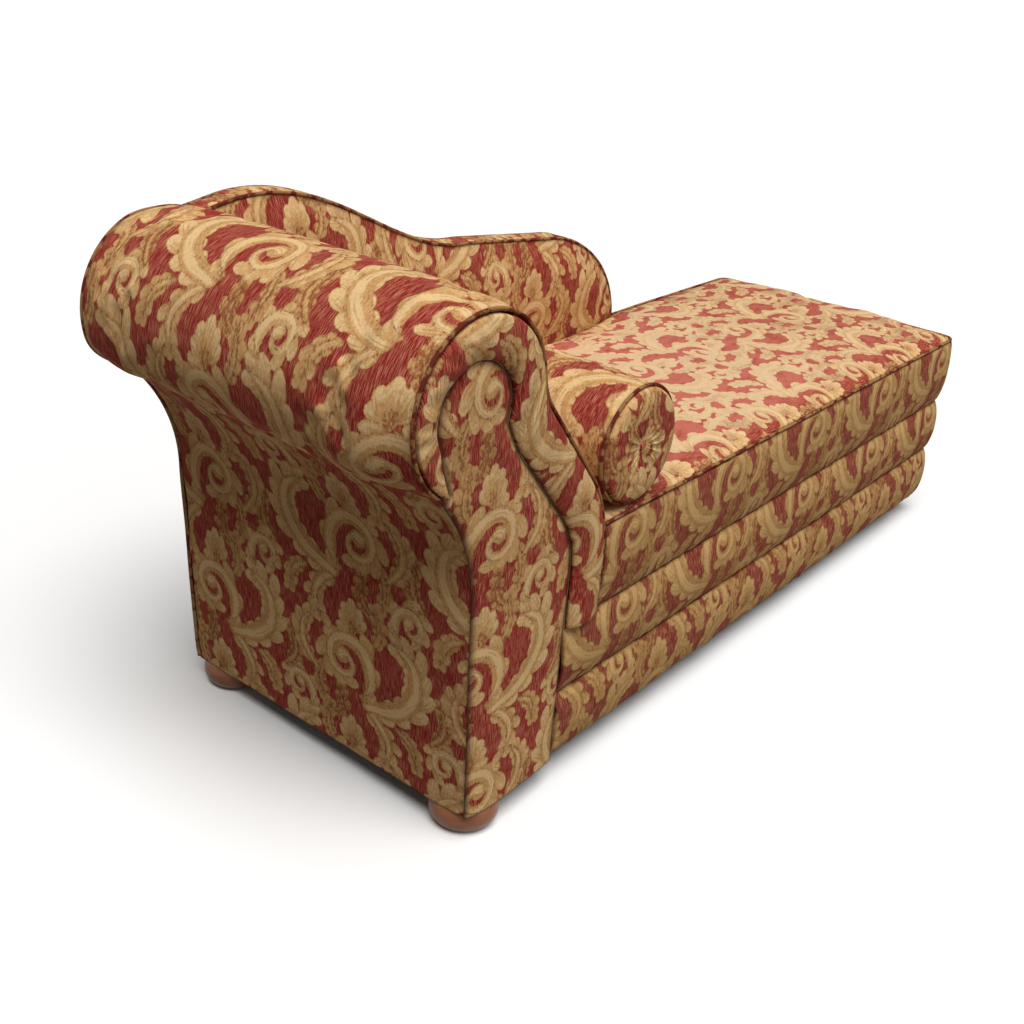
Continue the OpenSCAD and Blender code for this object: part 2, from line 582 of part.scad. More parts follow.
// Serpentine outline of the back, from above the roll to the nose and down to the hem
function top_z(x) =
    x < peak_x ? mix(roll_z + roll_r, peak_h, smooth((x + roll_out) / (peak_x + roll_out)))
    : x < dip_x ? mix(dip_h, peak_h, 0.5 + 0.5 * cos(180 * (x - peak_x) / (dip_x - peak_x)))
    : mix(dip_h, nose_h, (x - dip_x) / (nose_x - dip_x));
function nose_point(a) = [mix(nose_x, back_end, pow(sin(a), 2 / nose_power)),
                          mix(z_seat, nose_h, pow(cos(a), 2 / nose_power))];
back_x0 = -roll_out;
arm_core_d = cloth_t + foam_t;
top_steps = [for (i = [0:15]) mix(back_x0, nose_x, i / 15)];
function back_outline() = concat([for (x = top_steps) [x, top_z(x)]], [for (i = [1:8]) nose_point(i * 90 / 8)]);
function welt_y(x) = min(back_plan_y(x) + welt_r, face_y - seat_edge_t - gap - welt_r);
function back_shape(d) = inset(back_outline(), d);

// The arm's scroll, grown so that the swollen cover clears the back
module arm_cut(grow) polygon(concat([[-roll_out - roll_r, 0], [arm_foot + grow, 0]], arm_line(-grow),
    [[-roll_out - roll_r - grow, roll_z]]));
arm_clear = 10;
module back_polygon(d, x_end, low_end, z, grow) difference() {
    p = back_shape(d);
    ledge = low_end > x_end ? [[x_end, z_fold1], [low_end, z_fold1]] : [];
    polygon(concat([for (q = p) if (q[0] < x_end) q], [[x_end, lookup(x_end, p)]], ledge,
                   [[low_end, z], [back_x0, z]]));
    arm_cut(grow);
}
module back_board() color("peru") along_y(frame_y + gap, board_y)
    back_polygon(band_t + gap, board_end, back_end - band_t - gap, frame_z, -arm_core_d);
module outside_back_cover() color("indianred")
    along_y(facing_y, face_y) back_polygon(band_t + gap, back_end - band_t - gap, back_end - band_t - gap, hem_h, gap);

foam_front_y = [for (x = concat([back_x0], nose_steps)) if (back_plan_y(x) + back_cloth_t < frame_y - over)
    [x, back_plan_y(x) + back_cloth_t + over]];
module back_foam() color("lightyellow") intersection() {
    along_y(back_in_y, frame_y) back_polygon(band_t + over, back_end * foam_end_share, 0, z_fold1 + gap, arm_clear);
    translate([0, 0, z_fold1]) linear_extrude(peak_h) polygon(concat(foam_front_y,
        [[foam_front_y[len(foam_front_y) - 1][0], frame_y], [back_x0, frame_y]]));
}

// The inside back: crowned cloth and wadding over the foam, round the board's end to the nose
function back_base_y(x, before) = before > board_end ? board_y : min(back_plan_y(x) + back_cloth_t, frame_y);
module inside_back_cover() {
    p = back_shape(band_t + gap);
    rows = 10;
    full = [for (q = p) if (q[0] < back_end - band_t * 1.1) q];
    function z_on(q, t) = mix(z_fold1 + gap, q[1], t);
    function rise(q, z) = back_crown * smooth((z - z_seat - 2 * seat_edge_t) / (7 * back_crown))
        * smooth((q[1] - z) / (5.5 * back_crown)) * smooth((back_end - q[0]) / (15 * back_crown));
    function row(i, flat) = [for (j = [0:rows]) let (q = full[i], z = z_on(q, j / rows),
        x = q[0], y = flat ? back_base_y(x, full[max(i - 1, 0)][0]) : min(back_plan_y(x) - rise(q, z), board_y - over))
        [x, y, z]];
    color("indianred") difference() {
        grid_solid(reversed([for (i = [0:len(full) - 1]) row(i, false)]),
                   reversed([for (i = [0:len(full) - 1]) row(i, true)]));
        along_y(back_in_y - 2 * back_crown, face_y) arm_cut(-arm_core_d);
    }
}

// Band over the top edge of the back and its welt
band_step_x = roll_r / 2;
module back_top_band() {
    outer = back_outline();
    inner = back_shape(band_t);
    function front_y(x) = welt_y(x) + welt_r + gap;
    function rear_y(x) = x < band_step_x ? board_y : face_y;
    function edge(list) = [for (i = [0:len(outer) - 1]) let (x = outer[i][0])
        [[list[i][0], front_y(x), list[i][1]], [list[i][0], rear_y(x), list[i][1]]]];
    front = edge(outer);
    back = edge(inner);
    drop = [[[back_end, front_y(back_end), hem_h], [back_end, face_y, hem_h]]];
    drop_in = [[[back_end - band_t, front_y(back_end), hem_h], [back_end - band_t, face_y, hem_h]]];
    color("indianred") grid_solid(concat(front, drop), concat(back, drop_in));
}
module back_welt() color("darkred") {
    p = inset(back_outline(), welt_r);
    tube([for (v = p) [v[0], welt_y(v[0]), v[1]]],
         [for (i = [0:len(p) - 1]) let (n = left_normal(p, i)) [n[0], 0, n[1]]], welt_r);
}

// Turned bun feet with their hanger bolts
foot_glide_h = 7;
foot_glide_share = 0.68;
foot_neck_share = 0.72;
foot_bore_depth = 30;
module foot(spot) color("saddlebrown") translate([spot[0], spot[1], 0]) difference() {
    belly_z0 = foot_glide_h;
    belly = [for (i = [0:12]) let (a = mix(-62, 58, i / 12), h = (hem_h - belly_z0))
        [foot_r * (foot_neck_share + (1 - foot_neck_share) * cos(a)),
         belly_z0 + h * (sin(a) + sin(62)) / (sin(58) + sin(62))]];
    rotate_extrude() polygon(concat([[0, 0], [foot_r * foot_glide_share, 0],
        [foot_r * foot_glide_share, foot_glide_h]], belly, [[0, hem_h]]));
    translate([0, 0, hem_h - foot_bore_depth]) cylinder(r = bolt_r + bolt_gap, h = foot_bore_depth + over);
}
module foot_head_front() foot(foot_spots[0]);
module foot_head_rear() foot(foot_spots[1]);
module foot_end_front() foot(foot_spots[2]);
module foot_end_rear() foot(foot_spots[3]);
module foot_bolts() color("silver") for (p = foot_spots)
    translate([p[0], p[1], hem_h - foot_bore_depth + gap]) cylinder(r = bolt_r, h = bolt_l);

// Bolster, lying across the seat
bolster_z = seat_top_z + seat_height(bolster_x, 0.5) + gap + bolster_r;
module on_bolster(y) translate([bolster_x, y, bolster_z]) rotate([-90, 0, 0]) children();
module bolster_core() color("ivory") on_bolster(bolster_y0) cylinder(r = core_r, h = bolster_l);
// How much slimmer the cover is at its ends than in the middle
barrel = 3;
module bolster_cover() color("indianred") on_bolster(bolster_y0 + 2 * welt_r + gap) {
    h = bolster_l - 4 * welt_r - 2 * gap;
    rotate_extrude() polygon(concat([[core_r + gap, 0]], [for (i = [0:8]) let (t = i / 8)
        [bolster_r - barrel * pow(2 * t - 1, 2), h * t]], [[core_r + gap, h]]));
}
module bolster_welt(y) color("darkred") on_bolster(y) rotate_extrude()
    translate([bolster_r - welt_r, 0]) circle(r = welt_r, $fn = 16);
module bolster_welt_front() bolster_welt(bolster_y0 + welt_r);
module bolster_welt_rear() bolster_welt(bolster_y0 + bolster_l - welt_r);

// Gathered ends: cloth drawn from the welt to a dimple under the button
gather_depth = 2.5;
dimple_share = 0.5;
end_rings = [0.12, 0.35, 0.65, 0.88, 1];
function end_height(s, a) = end_bulge * (pow(1 - pow(s, 4), 0.5)) * (1 - dimple_share * pow(1 - s, 3))
    - gather_depth * sin(gathers * a) * (1 - s) * smooth((s - end_rings[0]) * 4);
module bolster_end(y, side) {
    steps = gathers * 3;
    rim = core_r - gap;
    function ring(s, lift) = [for (k = [0:steps - 1]) let (a = 360 * k / steps)
        [rim * s * cos(a), side * (lift ? gap + over + end_height(s, a) : gap), rim * s * sin(a)]];
    rings = [for (s = end_rings) each ring(s, true)];
    back = ring(1, false);
    n = len(end_rings);
    cap = ring(end_rings[0], true);
    points = concat(rings, back);
    function at(r, k) = r * steps + (k + steps) % steps;
    flip = side > 0;
    function turned(f) = flip ? f : reversed(f);
    faces = concat([for (r = [0:n - 1], k = [0:steps - 1]) each [
            turned([at(r, k), at(r, k + 1), at(r + 1, k + 1)]), turned([at(r, k), at(r + 1, k + 1), at(r + 1, k)])]],
        [turned([for (k = [steps - 1:-1:0]) at(0, k)]), turned([for (k = [0:steps - 1]) at(n, k)])]);
    color("indianred") translate([bolster_x, y, bolster_z]) polyhedron(points, faces);
}
module bolster_end_front() bolster_end(bolster_y0, -1);
module bolster_end_rear() bolster_end(bolster_y0 + bolster_l, 1);
button_h = 5;
module bolster_button(y, side) color("darkred") translate([bolster_x, y, bolster_z]) rotate([-90 * side, 0, 0])
    translate([0, 0, 2 * gap + over + end_height(end_rings[0], 0)]) intersection() {
        cylinder(r = button_r, h = button_h);
        translate([0, 0, button_h - 2 * button_r]) sphere(r = 2 * button_r);
    }
module bolster_button_front() bolster_button(bolster_y0, -1);
module bolster_button_rear() bolster_button(bolster_y0 + bolster_l, 1);

place() front_rail();
place() rear_rail();
place() head_rail();
place() foot_rail();
place() corner_blocks();
place() cross_bearers();
place() seat_end_rail();
place() scroll_board_front();
place() scroll_board_rear();
place() arm_battens();
place() back_board();
place() cross_webbing();
place() long_webbing();
place() seat_hessian();
place() dust_cover();
place() arm_lining();
place() arm_foam();
place() seat_foam();
place() back_foam();
place() arm_cover();
place() outside_arm_cover();
place() tongue_facing();
place() pleated_band();
place() rear_scroll_facing();
place() front_scroll_welt();
place() rear_scroll_welt();
place() lower_tier();
place() upper_tier();
place() seat_border();
place() seat_top_cover();
place() seat_welts();
place() inside_back_cover();
place() back_top_band();
place() outside_back_cover();
place() back_welt();
place() foot_head_front();
place() foot_head_rear();
place() foot_end_front();
place() foot_end_rear();
place() foot_bolts();
place() bolster_core();
place() bolster_cover();
place() bolster_end_front();
place() bolster_end_rear();
place() bolster_welt_front();
place() bolster_welt_rear();
place() bolster_button_front();
place() bolster_button_rear();
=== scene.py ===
# %% [markdown]
# # Fainting couch
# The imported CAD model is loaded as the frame. Each soft cover is then rebuilt over its CAD solid as a
# fine grid of cloth with its own damask pattern, its welts and its seams. Everything is in metres.

# %% Load the frame
import math

import bpy
import numpy as np
from mathutils import Matrix, Vector


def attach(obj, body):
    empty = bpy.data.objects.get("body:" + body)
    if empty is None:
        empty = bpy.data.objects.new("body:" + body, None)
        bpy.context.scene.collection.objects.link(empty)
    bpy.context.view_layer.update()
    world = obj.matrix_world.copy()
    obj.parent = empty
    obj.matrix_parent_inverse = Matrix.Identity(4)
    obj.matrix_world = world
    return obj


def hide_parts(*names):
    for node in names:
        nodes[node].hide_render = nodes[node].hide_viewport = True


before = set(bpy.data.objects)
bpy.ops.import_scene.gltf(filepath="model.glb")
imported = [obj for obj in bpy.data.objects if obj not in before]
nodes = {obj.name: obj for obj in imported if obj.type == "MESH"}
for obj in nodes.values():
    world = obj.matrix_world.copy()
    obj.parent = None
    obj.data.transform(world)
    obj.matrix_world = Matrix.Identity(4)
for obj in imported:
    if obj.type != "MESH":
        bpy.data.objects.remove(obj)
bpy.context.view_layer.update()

# %% [markdown]
# ## Lines
# The covers follow a few lines: the scroll, the seams and the edges. A line here is an array of points
# rather than a curve object, so that covers can share it. A random wander keeps seams from looking ruled.

# %% Line helpers
def smooth(t):
    """0 up to 1 with soft ends."""
    t = np.clip(t, 0, 1)
    return t * t * (3 - 2 * t)


def span(n):
    """n even values from 0 to 1."""
    return np.linspace(0, 1, n)


def angles(a0, a1, n):
    """n even angles between two given in degrees."""
    return np.radians(np.linspace(a0, a1, n))


def circle(a):
    return np.stack([np.cos(a), np.sin(a)], 1)


def arc(c, r, a0, a1, n=60):
    return np.asarray(c) + r * circle(angles(a0, a1, n + 1))


def run_of(p):
    """Running length along a line of points."""
    return np.r_[0, np.cumsum(np.linalg.norm(np.diff(p, axis=0), axis=1))]


def even(p, n, carried=None):
    """The same line with n + 1 even points, or what its points carry at those places."""
    s = run_of(p)
    w = np.linspace(0, s[-1], n + 1)
    return np.stack([np.interp(w, s, v) for v in (p if carried is None else carried).T], 1)


def cubic(a, b, c, d, t):
    """The place t of the way from b to c, on a smooth curve that a and d bend."""
    return 0.5 * (2 * b + (c - a) * t + (2 * a - 5 * b + 4 * c - d) * t**2
                  + (3 * b - a - 3 * c + d) * t**3)


def wander(n, length, wave, seed):
    """A smooth random line of n values over a length, with bumps about one wave long."""
    k = max(int(length / wave) + 4, 5)
    knots = np.random.default_rng(seed).normal(size=k)
    x = np.linspace(1, k - 2.001, n)
    i = x.astype(int)
    return cubic(knots[i - 1], knots[i], knots[i + 1], knots[np.minimum(i + 2, k - 1)], x - i)


def enlarge(a, rows, cols, edge=0.0):
    """A coarse grid of vectors brought to rows by cols by smooth interpolation."""
    for axis, n in ((0, rows), (1, cols)):
        a = np.moveaxis(a, axis, 0)
        k = len(a)
        x = np.linspace(edge, k - 1 - edge, n)
        i = np.clip(x.astype(int), 0, k - 2)
        t = (x - i).reshape((-1,) + (1,) * (a.ndim - 1))
        a = cubic(a[np.maximum(i - 1, 0)], a[i], a[i + 1], a[np.minimum(i + 2, k - 1)], t)
        a = np.moveaxis(a, 0, axis)
    return a


def lumps(rows, cols, waves, seed):
    """Smooth random bumps over a grid, with about waves[0] by waves[1] of them."""
    coarse = np.random.default_rng(seed).normal(size=(waves[0] + 4, waves[1] + 4))
    return enlarge(coarse[..., None], rows, cols, 1.0)[..., 0]


print("half a circle of 1 m is", round(float(run_of(arc((0, 0), 1.0, 0, 180))[-1]), 4), "m long")

# %% [markdown]
# ## Grids of cloth
# A cover is a grid of points whose rows and columns follow the cloth. Its UVs are then simply distances
# along the cloth, and the damask keeps its size everywhere. Sculpting could give the same folds, but a
# grid can be drawn in at its seams and hemmed by rule.

# %% Grid helpers
SIDES = ("start", "end", "left", "right")
UP, LEFT, FRONT, REAR = (0, 0, 1), (-1, 0, 0), (0, -1, 0), (0, 1, 0)


def grid(*parts):
    """Values of any shape, spread over one grid and set side by side as its points."""
    return np.stack(np.broadcast_arrays(*parts), -1)


def across(q, y):
    """Points q of the side view, set at the places y across the couch."""
    return grid(q[..., 0], y, q[..., 1])


def between(a, b, t):
    """A grid from line a to line b, with each point t of the way over."""
    t = t[..., None]
    return a[:, None] * (1 - t) + b[:, None] * t


def normals_of(p):
    n = np.cross(np.gradient(p, axis=0), np.gradient(p, axis=1))
    return n / (np.linalg.norm(n, axis=2, keepdims=True) + 1e-12)


def outward(p, out):
    """Unit normals of the grid, turned to the side that `out` points to in its middle."""
    n = normals_of(p)
    m = n[n.shape[0] // 2, n.shape[1] // 2]
    return n if np.dot(m, out) > 0 else -n


def quads(p, out):
    """Faces between the points of a grid, seen from the side that `out` points to."""
    rows, cols = p.shape[:2]
    at = np.arange(rows * cols).reshape(rows, cols)
    faces = np.stack([at[:-1, :-1], at[1:, :-1], at[1:, 1:], at[:-1, 1:]], -1).reshape(-1, 4)
    return faces[:, ::-1] if np.dot(normals_of(p)[rows // 2, cols // 2], out) < 0 else faces


def edge_runs(p):
    """Distance of every grid point from the four sides of the grid, along the cloth."""
    down = np.cumsum(np.linalg.norm(np.diff(p, axis=0), axis=2), 0)
    over = np.cumsum(np.linalg.norm(np.diff(p, axis=1), axis=2), 1)
    ds = np.concatenate([np.zeros((1, p.shape[1])), down])
    dt = np.concatenate([np.zeros((p.shape[0], 1)), over], 1)
    return ds, ds[-1:] - ds, dt, dt[:, -1:] - dt


def tuck(p, out, sides, depth=0.003, zone=0.010, pucker=0.0012, wave=0.016, seed=1):
    """Draws the named sides of a grid in towards their seams, with small puckers along them."""
    n = outward(p, out)
    runs = edge_runs(p)
    for k, name in enumerate(SIDES):
        if name not in sides:
            continue
        count = p.shape[1] if k < 2 else p.shape[0]
        line = p[0 if k == 0 else -1] if k < 2 else p[:, 0 if k == 2 else -1]
        w = wander(count, run_of(line)[-1], wave, seed + 31 * k)
        w = w[None] if k < 2 else w[:, None]
        near = np.exp(-((runs[k] / zone) ** 1.3))
        far = np.exp(-runs[k] / (2.2 * zone)) * smooth(runs[k] / (0.5 * zone))
        p = p - n * (depth * near + pucker * w * far)[..., None]
    return p


def hemmed(p, uv, out, depth):
    """The grid with a strip turned in behind each of its four sides."""
    border = ((1, 1), (1, 1), (0, 0))
    pad = np.pad(p, border, mode="edge")
    back = np.pad(outward(p, out) * depth, border, mode="edge")
    inside = np.zeros(pad.shape[:2], bool)
    inside[1:-1, 1:-1] = True
    pad[~inside] -= back[~inside]
    return pad, np.pad(uv, border, mode="edge")


def place(name, data):
    """A new object in the scene."""
    obj = bpy.data.objects.new(name, data)
    bpy.context.scene.collection.objects.link(obj)
    return obj


def make_mesh(name, points, faces, uv=None, extra=None):
    """A smooth mesh from arrays, with its UVs and with values carried at its points."""
    mesh = bpy.data.meshes.new(name)
    faces = np.asarray(faces, np.int32)
    mesh.vertices.add(len(points))
    mesh.vertices.foreach_set("co", np.asarray(points, np.float32).ravel())
    mesh.loops.add(faces.size)
    mesh.loops.foreach_set("vertex_index", faces.ravel())
    mesh.polygons.add(len(faces))
    mesh.polygons.foreach_set("loop_start", np.arange(len(faces), dtype=np.int32) * faces.shape[1])
    if uv is not None:
        layer = mesh.uv_layers.new(name="cloth")
        layer.data.foreach_set("uv", np.asarray(uv, np.float32)[faces.ravel()].ravel())
    for key, values in (extra or {}).items():
        kind, field = ("FLOAT_VECTOR", "vector") if np.ndim(values) == 2 else ("FLOAT", "value")
        carried = mesh.attributes.new(key, kind, "POINT")
        carried.data.foreach_set(field, np.asarray(values, np.float32).ravel())
    mesh.update(calc_edges=True)
    mesh.validate()
    mesh.polygons.foreach_set("use_smooth", np.ones(len(mesh.polygons), bool))
    return place(name, mesh)


# %% [markdown]
# ## The damask
# The cloth has this part's own layout of acanthus scrolls, painted stroke over stroke on a tile that
# repeats. The tile keeps the distance to the gold's edge, the distance to the topmost stroke's edge, a
# tone, and the place across the stroke. Distances stay sharp where a picture would blur.

# %% Pattern tile
TILE_W, TILE_H, TEXEL = 0.32, 0.44, 0.00125
COLS, ROWS = round(TILE_W / TEXEL), round(TILE_H / TEXEL)
UNPAINTED = -0.03
gold_edge = np.full((ROWS, COLS), UNPAINTED)
lobe_edge = np.full((ROWS, COLS), UNPAINTED)
tone_map = np.zeros((ROWS, COLS))
vein_map = np.zeros((ROWS, COLS))


def tangents(p):
    tan = np.gradient(p, axis=0)
    return tan / (np.linalg.norm(tan, axis=1)[:, None] + 1e-9)


def stroke(path, width, tone):
    """Paints a stroke of changing half width over what is there, wrapping at the tile's sides."""
    tan = tangents(path)
    pad = width.max() + 0.008
    lo, hi = path.min(0) - pad, path.max(0) + pad
    ii = np.arange(int(lo[0] // TEXEL), int(hi[0] // TEXEL) + 1)
    jj = np.arange(int(lo[1] // TEXEL), int(hi[1] // TEXEL) + 1)
    x, y = np.meshgrid((ii + 0.5) * TEXEL, (jj + 0.5) * TEXEL)
    dx, dy = x[..., None] - path[:, 0], y[..., None] - path[:, 1]
    s = width - np.sqrt(dx * dx + dy * dy)
    k = s.argmax(-1)
    best = np.take_along_axis(s, k[..., None], -1)[..., 0]
    off = np.take_along_axis(dy * tan[:, 0] - dx * tan[:, 1], k[..., None], -1)[..., 0]
    shade = np.broadcast_to(tone, len(path))[k]
    j, i = np.meshgrid(jj % ROWS, ii % COLS, indexing="ij")
    np.maximum.at(gold_edge, (j, i), best)
    m = best > 0
    lobe_edge[j[m], i[m]] = best[m]
    tone_map[j[m], i[m]] = shade[m]
    vein_map[j[m], i[m]] = off[m]
    near = ~m & (lobe_edge[j, i] < best)
    lobe_edge[j[near], i[near]] = best[near]


print("empty tile", ROWS, "x", COLS, "texels of", TEXEL * 1000, "mm")

# %% [markdown]
# ## Leaves and scrolls
# An acanthus leaf is a tapering body with rounded fingers that lean ahead. A scroll is the same on a
# line that winds in. Each is a few strokes along a curve, so a leaf needs only a handful of numbers.

# %% Leaves and scrolls
def spline(points, n):
    """n points of a smooth curve through a few places."""
    p = np.array(points, float)
    p = np.vstack([2 * p[0] - p[1], p, 2 * p[-1] - p[-2]])
    x = np.linspace(0, len(p) - 3 - 1e-9, n)
    i = x.astype(int)
    return cubic(p[i], p[i + 1], p[i + 2], p[i + 3], (x - i)[:, None])


def turn(d, degrees):
    a = math.radians(degrees)
    return np.array([d[0] * math.cos(a) - d[1] * math.sin(a), d[0] * math.sin(a) + d[1] * math.cos(a)])


def lobe(root, ahead, length, half, bend, tones):
    """A finger that swells from its root to a round tip, bending sideways."""
    t = span(24)
    p = root + ahead * (length * t)[:, None] + turn(ahead, 90) * (bend * length * t**2)[:, None]
    tip = np.sqrt(np.clip(1 - ((t - 0.65) / 0.35).clip(0) ** 2, 0, 1))
    w = half * (0.55 + 0.45 * smooth(t / 0.6)) * tip + 0.0004
    stroke(p, w, np.interp(t, (0, 1), tones))


def fronds(p, w, side, u0, u1, count, length, half, tones, lean=50, bend=0.45):
    """Fingers along one side of a line, each leaning ahead and laid over the one before."""
    tan = tangents(p)
    for i in range(count):
        k = int((u0 + (u1 - u0) * i / max(count - 1, 1)) * (len(p) - 1))
        size = (0.60 + 0.40 * math.sin(math.pi * (i + 0.6) / (count + 0.2))) * (1.0, 0.86, 1.1)[i % 3]
        root = p[k] + side * turn(tan[k], 90) * w[k] * 0.25
        ahead = turn(tan[k], side * lean)
        lobe(root, ahead, length * size, half * (0.72 + 0.28 * size), -side * bend, tones)


def band(p, w, tones, shift, inner=0.5):
    """A body with a lighter band inside it, set to one side."""
    stroke(p, w, tones[0])
    tan = tangents(p)
    stroke(p + np.stack([-tan[:, 1], tan[:, 0]], 1) * (w * shift)[:, None], w * inner, tones[1])


def spiral(c, r0, a0, turns, side, half, close):
    """A scroll that winds in to `close` of its first radius, and its half width."""
    t = span(130)
    r, a = r0 * close ** (t**1.1), np.radians(a0) + side * 2 * np.pi * turns * t
    w = half * (1 - 0.62 * smooth(t / 0.9) + 0.6 * smooth((t - 0.86) / 0.12)) * smooth(t / 0.12 + 0.2)
    return np.array(c) + r[:, None] * circle(a), w


def leaf(points, half, side, count, length, finger, tones, both):
    """A long body that tapers to its tip, with fingers outside and shorter ones inside."""
    p, t = spline(points, 80), span(80)
    w = half * np.sin(np.pi * (0.12 + 0.86 * t)) ** 0.7 * (1 - 0.35 * t) + 0.0006
    fronds(p, w, side, 0.10, 0.93, count, length, finger, tones)
    fronds(p, w, -side, 0.16, 0.90, count - 1, length * both, finger * 0.9, tones, 42, 0.3)
    band(p, w, tones, 0.15 * side, 0.45)


# %% [markdown]
# ## The layout
# Woven repeats are often half-dropped, so that their rows don't line up. The same group is painted
# twice: as it is, and then mirrored and moved by half a tile.

# %% Layout
# Places, half width, side, fingers, their length and half width, tones, share of the inner ones.
LEAVES = (
    (((-0.086, 0.030), (-0.112, 0.070), (-0.104, 0.122)), 0.009, 1, 6, 0.025, 0.0082, (0.10, 0.50), 0.7),
    (((0.026, 0.206), (0.052, 0.226), (0.056, 0.270)), 0.007, -1, 5, 0.022, 0.0075, (0.05, 0.40), 0.7),
    (((0.036, 0.148), (0.022, 0.180), (0.030, 0.226)), 0.008, 1, 5, 0.021, 0.0078, (0.20, 0.65), 0.8),
    (((-0.018, 0.022), (-0.044, 0.004), (-0.058, -0.036)), 0.008, -1, 5, 0.022, 0.0080, (0.25, 0.75), 0.8),
    (((0.136, 0.082), (0.150, 0.048), (0.146, 0.008)), 0.007, 1, 5, 0.019, 0.0074, (0.15, 0.60), 0.8),
    (((0.052, 0.036), (0.016, 0.010), (0.000, -0.024), (0.014, -0.064)),
     0.012, 1, 6, 0.029, 0.0095, (0.35, 0.9), 0.9),
    (((0.158, 0.060), (0.184, 0.094), (0.186, 0.134), (0.160, 0.166)),
     0.011, -1, 6, 0.027, 0.0092, (0.30, 0.85), 0.6),
    (((0.046, 0.036), (-0.014, 0.056), (-0.052, 0.100), (-0.048, 0.150), (-0.006, 0.178)),
     0.020, 1, 8, 0.043, 0.0130, (0.45, 1.0), 0.75),
)


def group(ox, oy, m):
    """One group of leaves, two scrolls and a palmette, moved by (ox, oy) and mirrored where m is -1."""
    def at(x, y):
        return ox + m * x, oy + y

    for places, half, side, *rest in LEAVES:
        leaf([at(x, y) for x, y in places], half, side * m, *rest)
    great, small = (236, -46) if m > 0 else (180 - 236, 180 + 46)
    p, w = spiral(at(0.094, 0.100), 0.064, great, 1.5, -m, 0.0150, 0.17)
    fronds(p, w, m, 0.00, 0.58, 9, 0.040, 0.0118, (0.35, 0.85), 36, 0.55)
    fronds(p, w, -m, 0.08, 0.36, 4, 0.028, 0.0080, (0.5, 1.0), 30, 0.6)
    band(p, w, (0.45, 1.0), 0.2 * m)
    p, w = spiral(at(-0.046, 0.222), 0.037, small, 1.3, m, 0.0105, 0.22)
    fronds(p, w, -m, 0.00, 0.55, 6, 0.030, 0.0092, (0.35, 0.9), 36, 0.55)
    band(p, w, (0.6, 1.0), -0.2 * m)
    root = np.array(at(0.078, 0.168))
    for a, size in ((158, 0.75), (22, 0.75), (128, 1.0), (52, 1.0), (90, 1.25)):
        lobe(root, turn((m, 0), m * a), 0.040 * size, 0.0112, 0.25 * m * np.sign(a - 90) * -1, (0.3, 1.0))
    stroke(np.array([root - (0, 0.006), root + (0, 0.006)]), np.array([0.008, 0.008]), 0.3)


group(0.0, 0.0, 1)
group(TILE_W / 2, TILE_H / 2, -1)
print("gold share of the tile", round(float((gold_edge > 0).mean()), 3))

# %% [markdown]
# ## Reading the tile
# Each point of a cover reads the four values at its UV and carries them to the shader. An image would
# do the same, but values at the points need no picture file.

# %% Reading the tile
def damask_at(uv):
    """Gold edge, lobe edge, tone and vein place at each UV, read smoothly from the repeating tile."""
    x, y = uv[:, 0] / TEXEL - 0.5, uv[:, 1] / TEXEL - 0.5
    i, j = np.floor(x).astype(int), np.floor(y).astype(int)
    fx, fy = x - i, y - j
    out = []
    for f in (gold_edge, lobe_edge, tone_map, vein_map):
        a, b = f[j % ROWS, i % COLS], f[j % ROWS, (i + 1) % COLS]
        c, d = f[(j + 1) % ROWS, i % COLS], f[(j + 1) % ROWS, (i + 1) % COLS]
        out.append((a * (1 - fx) + b * fx) * (1 - fy) + (c * (1 - fx) + d * fx) * fy)
    return np.stack(out, 1)


print("values at the tile's corner", damask_at(np.zeros((1, 2))).round(4)[0])

# %% [markdown]
# ## Shader nodes
# A material is a tree of nodes. These helpers add and wire one node each, so that it reads like a sum.

# %% Node helpers
def new_material(name):
    mat = bpy.data.materials.new(name)
    mat.use_nodes = True
    tree = mat.node_tree
    return mat, tree, tree.nodes["Principled BSDF"]


def wire(tree, a, b):
    """Links a to b, or sets b's own value where a is plain."""
    if isinstance(a, bpy.types.NodeSocket):
        tree.links.new(a, b)
    elif hasattr(b.default_value, "__len__"):
        b.default_value = tuple(a) if len(a) == len(b.default_value) else (*a, 1.0)
    else:
        b.default_value = a


def put(node, values):
    """Sets a node's own values by the names of its sockets."""
    for name, value in values.items():
        node.inputs[name].default_value = value


def maths(tree, how, *values, clamp=False):
    n = tree.nodes.new("ShaderNodeMath")
    n.operation, n.use_clamp = how, clamp
    for value, socket in zip(values, n.inputs):
        wire(tree, value, socket)
    return n.outputs[0]


def step(tree, value, edge, width):
    """0 below the edge and 1 above it, over a small width."""
    n = tree.nodes.new("ShaderNodeMapRange")
    n.interpolation_type = "SMOOTHSTEP"
    wire(tree, value, n.inputs["Value"])
    put(n, {"From Min": edge - width / 2, "From Max": edge + width / 2})
    return n.outputs["Result"]


def blend(tree, share, a, b):
    n = tree.nodes.new("ShaderNodeMix")
    n.data_type = "RGBA"
    wire(tree, share, n.inputs["Factor"])
    wire(tree, a, n.inputs[6])
    wire(tree, b, n.inputs[7])
    return n.outputs[2]


def noise(tree, vector, scale, stretch=(1, 1, 1), detail=2.0, rough=0.5):
    m = tree.nodes.new("ShaderNodeMapping")
    m.vector_type = "POINT"
    put(m, {"Scale": stretch})
    wire(tree, vector, m.inputs["Vector"])
    n = tree.nodes.new("ShaderNodeTexNoise")
    put(n, {"Scale": scale, "Detail": detail, "Roughness": rough})
    wire(tree, m.outputs[0], n.inputs["Vector"])
    return n.outputs["Fac"]


def attribute(tree, name, output="Fac"):
    """What a mesh carries at its points under that name."""
    n = tree.nodes.new("ShaderNodeAttribute")
    n.attribute_name = name
    return n.outputs[output]


